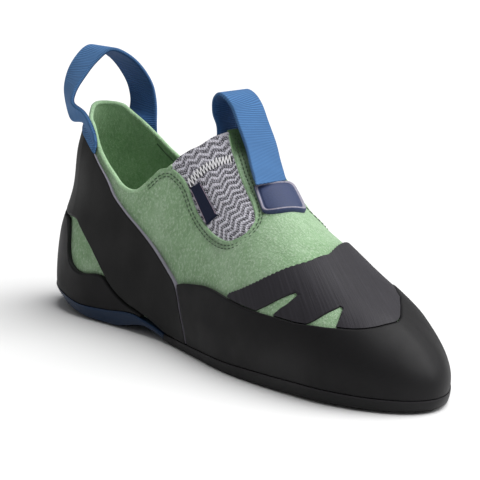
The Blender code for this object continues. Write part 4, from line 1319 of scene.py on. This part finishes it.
# Webbing loops
def webbing(name, rows, node, thin_start=0.0):
    """Strap through rows of points across it. Its start is thin over a length, if that is given."""
    count = 150
    at = run_of(rows.mean(axis=1))
    steps = np.linspace(0, at[-1], count)
    middle = np.stack([smooth(at, values, steps) for values in rows.reshape(len(rows), -1).T], -1)
    middle = middle.reshape(count, rows.shape[1], 3)
    soften(middle, 6)
    lanes = np.linspace(0, 1, rows.shape[1])
    share = dense_ends(24, 0.6)
    fine = [[np.interp(share, lanes, values) for values in row.T] for row in middle]
    fine = np.array(fine).transpose(0, 2, 1)
    normal = unit(np.cross(np.gradient(fine, axis=0), np.gradient(fine, axis=1)))
    across = (share - 0.5) * WEBBING_WIDTH
    half = WEBBING_THICKNESS / 2 * rounded(WEBBING_WIDTH / 2 - np.abs(across), 0.7 * MM, 0.25)
    along = run_of(fine[:, 12])
    start = np.clip(along / thin_start, 0.25, 1) if thin_start else np.ones(count)
    half = half[None, :, None] * start[:, None, None]
    tangent = unit(np.gradient(fine[:, 12], axis=0))
    skew = ((fine - fine[:, 12:13]) * tangent[:, None]).sum(-1)
    uv = np.stack(np.broadcast_arrays(along[:, None] + skew, across), -1) / MM
    fine = fine - HEEL_SPOT
    # The back face takes the darker copy of the tape, which is painted shadow
    solid(name, fine + normal * half, fine - normal * half, ["webbing", "webbing_shaded_back"], uv,
          nodes=[node], back_slot=1)


def across_strap(middle, turn):
    lanes = np.linspace(-0.5, 0.5, 5) * WEBBING_WIDTH
    return middle[:, None] + turn[:, None] * lanes[None, :, None]


def loop_foot(at, girth, way):
    """Two rows of points across a strap where it lies on the collar above the sling."""
    seat = CLEARANCE + WEBBING_THICKNESS / 2 + LOOP_SLACK
    ring = rib(np.array([at - 0.01, at + 0.01]), sling_front(np.array([at])))
    step = way * 0.02 * WEBBING_WIDTH / np.linalg.norm(ring[1] - ring[0])
    stations = at + np.linspace(-0.5, 0.5, 5) * step
    low = sling_front(stations)
    low = low + girth_step(stations, low, CLEARANCE)
    return np.stack([rib(stations, low, seat), rib(stations, low + girth, seat)])


def centre_line(table, height):
    """A loop's centre line, whose z is a share of a height."""
    return np.stack([column(table, name) for name in "xyz"], -1) * [LENGTH, BALL_WIDTH, height]


def add_loops():
    middle = centre_line(HEEL_LOOP, HEEL_HEIGHT)
    angle, rise = np.radians(column(HEEL_LOOP, "turn")), np.radians(column(HEEL_LOOP, "rise"))
    turn = [np.cos(angle) * np.cos(rise), np.sin(angle) * np.cos(rise), np.sin(rise)]
    medial, lateral = loop_foot(*LOOP_FEET[1], -1), loop_foot(*LOOP_FEET[2], 1)
    rows = [medial, across_strap(middle, np.stack(turn, -1)), lateral[::-1]]
    webbing("heel_loop", np.concatenate(rows), "heel_pull_loop")
    middle = centre_line(FRONT_LOOP, INSTEP_HEIGHT)
    rows = across_strap(middle, np.broadcast_to([0.0, 1.0, 0.0], middle.shape))
    under = rows[:1] + (rows[:1] - rows[1:2]) * np.array([0.75, 0.75, 0.55])
    webbing("front_loop", np.concatenate([under, rows]), "front_pull_loop", 5 * MM)


# Badge
def through_three(values, share):
    """Curve through three points at 0, 0.5 and 1, for arrays of shares."""
    a, b, c = values
    rest = 1 - share
    return a * rest * (1 - 2 * share) + b * 4 * share * rest + c * share * (2 * share - 1)


def badge_terms(x, y):
    """Terms of the smooth surface that the badge lies on."""
    x, y = x - 0.59, y + 0.05
    return np.stack([np.ones_like(x), x, y, x * x, x * y, y * y, y**3, x * y * y], -1)


def add_badge():
    """Moulded badge with rounded corners, a raised border and a bare middle."""
    ends = np.linspace(-1, 1, 73)
    a, b = np.meshgrid(ends, ends, indexing="ij")
    square = np.maximum(np.abs(a), np.abs(b)) + TINY
    power = BADGE_CORNERS
    round_off = square / (np.abs(a) ** power + np.abs(b) ** power + TINY) ** (1 / power)
    across, along = (a * round_off + 1) / 2, (b * round_off + 1) / 2
    plan = np.array(BADGE_PLAN)
    rows = [[through_three(row[:, n], along) for row in plan] for n in (0, 1)]
    x, y = [through_three(row, across) for row in rows]
    near = x[::6, ::6].ravel(), y[::6, ::6].ravel()
    under = surface(*girth_over(*near), CLEARANCE)[:, 2]
    z = badge_terms(x, y) @ np.linalg.lstsq(badge_terms(*near), under, rcond=None)[0] + 0.25 * MM
    base = np.stack([x * LENGTH, y * BALL_WIDTH, z], -1) - HEEL_SPOT
    normal = unit(np.cross(np.gradient(base, axis=0), np.gradient(base, axis=1)))
    normal *= np.sign(normal[..., 2:])
    ring = (1 - square) * BADGE_HALF
    height = BADGE_HEIGHT * rounded(ring, 0.5 * MM, 0.2) + relief(ring, BADGE_RELIEF)
    height -= 0.12 * MM * np.clip((ring - 1.8 * MM) / (0.6 * MM), 0, 1)
    outer = base + normal * height[..., None]
    outer[..., 2] += BADGE_LIFT * across**2 * (1 - along)
    inner = base - normal * 0.6 * MM
    plate = solid("badge_plate", inner, outer, ["badge", "badge_rim"], nodes=["instep_badge"])
    middle = (ring[:-1, :-1] + ring[1:, 1:] + ring[1:, :-1] + ring[:-1, 1:]) / 4
    rim = np.abs(middle - BADGE_RELIEF[0][0] * MM) < 0.48 * MM
    which = np.zeros(len(plate.data.polygons), np.int32)
    which[: rim.size] = rim.ravel()
    plate.data.polygons.foreach_set("material_index", which)


def dress_insole():
    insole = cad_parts["insole"]
    insole.data.materials.clear()
    insole.data.materials.append(MADE["lining"])


# Floor, light and camera
def add_object(name, data):
    thing = bpy.data.objects.new(name, data)
    bpy.context.scene.collection.objects.link(thing)
    return thing


def add_floor():
    mesh = bpy.data.meshes.new("floor")
    turns = (-1, -1), (1, -1), (1, 1), (-1, 1)
    corners = [(x * FLOOR_REACH, y * FLOOR_REACH, 0) for x, y in turns]
    mesh.from_pydata(corners, [], [(0, 1, 2, 3)])
    material = bpy.data.materials.new("floor")
    material.use_nodes = True
    inputs = material.node_tree.nodes["Principled BSDF"].inputs
    inputs["Base Color"].default_value = (FLOOR_GREY, FLOOR_GREY, FLOOR_GREY, 1.0)
    inputs["Roughness"].default_value = 0.9
    inputs["Specular IOR Level"].default_value = 0.1
    mesh.materials.append(material)
    thing = add_object("floor", mesh)


def add_sun(name, way, angle, power):
    """Soft light from far away. way points from the shoe to the light."""
    light = bpy.data.lights.new(name, "SUN")
    light.angle, light.energy = np.radians(angle), power
    thing = add_object(name, light)
    thing.rotation_euler = (-Vector(way)).to_track_quat("-Z", "Y").to_euler()


def add_camera():
    """The photograph's view, from one metre away."""
    azimuth, elevation = np.radians(CAMERA_AZIMUTH), np.radians(CAMERA_ELEVATION)
    level = np.cos(elevation)
    back = Vector((np.sin(azimuth) * level, -np.cos(azimuth) * level, np.sin(elevation)))
    right = Vector((np.cos(azimuth), np.sin(azimuth), 0.0))
    camera = bpy.data.cameras.new("camera")
    camera.sensor_width, camera.lens = 36.0, CAMERA_LENS
    camera.shift_x, camera.shift_y = CAMERA_SHIFT
    camera.clip_end = 50.0
    thing = add_object("camera", camera)
    turn = Matrix((right, back.cross(right), back)).transposed().to_4x4()
    thing.matrix_world = Matrix.Translation(Vector(CAMERA_TARGET) + back) @ turn
    bpy.context.scene.camera = thing


def add_world():
    world = bpy.data.worlds.new("studio")
    world.use_nodes = True
    inputs = world.node_tree.nodes["Background"].inputs
    inputs["Color"].default_value = (1.0, 1.0, 1.0, 1.0)
    inputs["Strength"].default_value = WORLD_STRENGTH
    bpy.context.scene.world = world


bpy.context.scene.view_settings.view_transform = "Standard"
add_camera()
add_floor()
add_world()
for name, settings in SUNS.items():
    add_sun(name, *settings)
make_materials()
add_upper()
for side in SIDES:
    add_gore(side)
for side in SIDES:
    add_zigzag(side)
add_label()
add_rim_beads()
add_sling()
add_heel_rubber()
add_rand()
add_patch()
add_soles()
add_loops()
add_badge()
dress_insole()
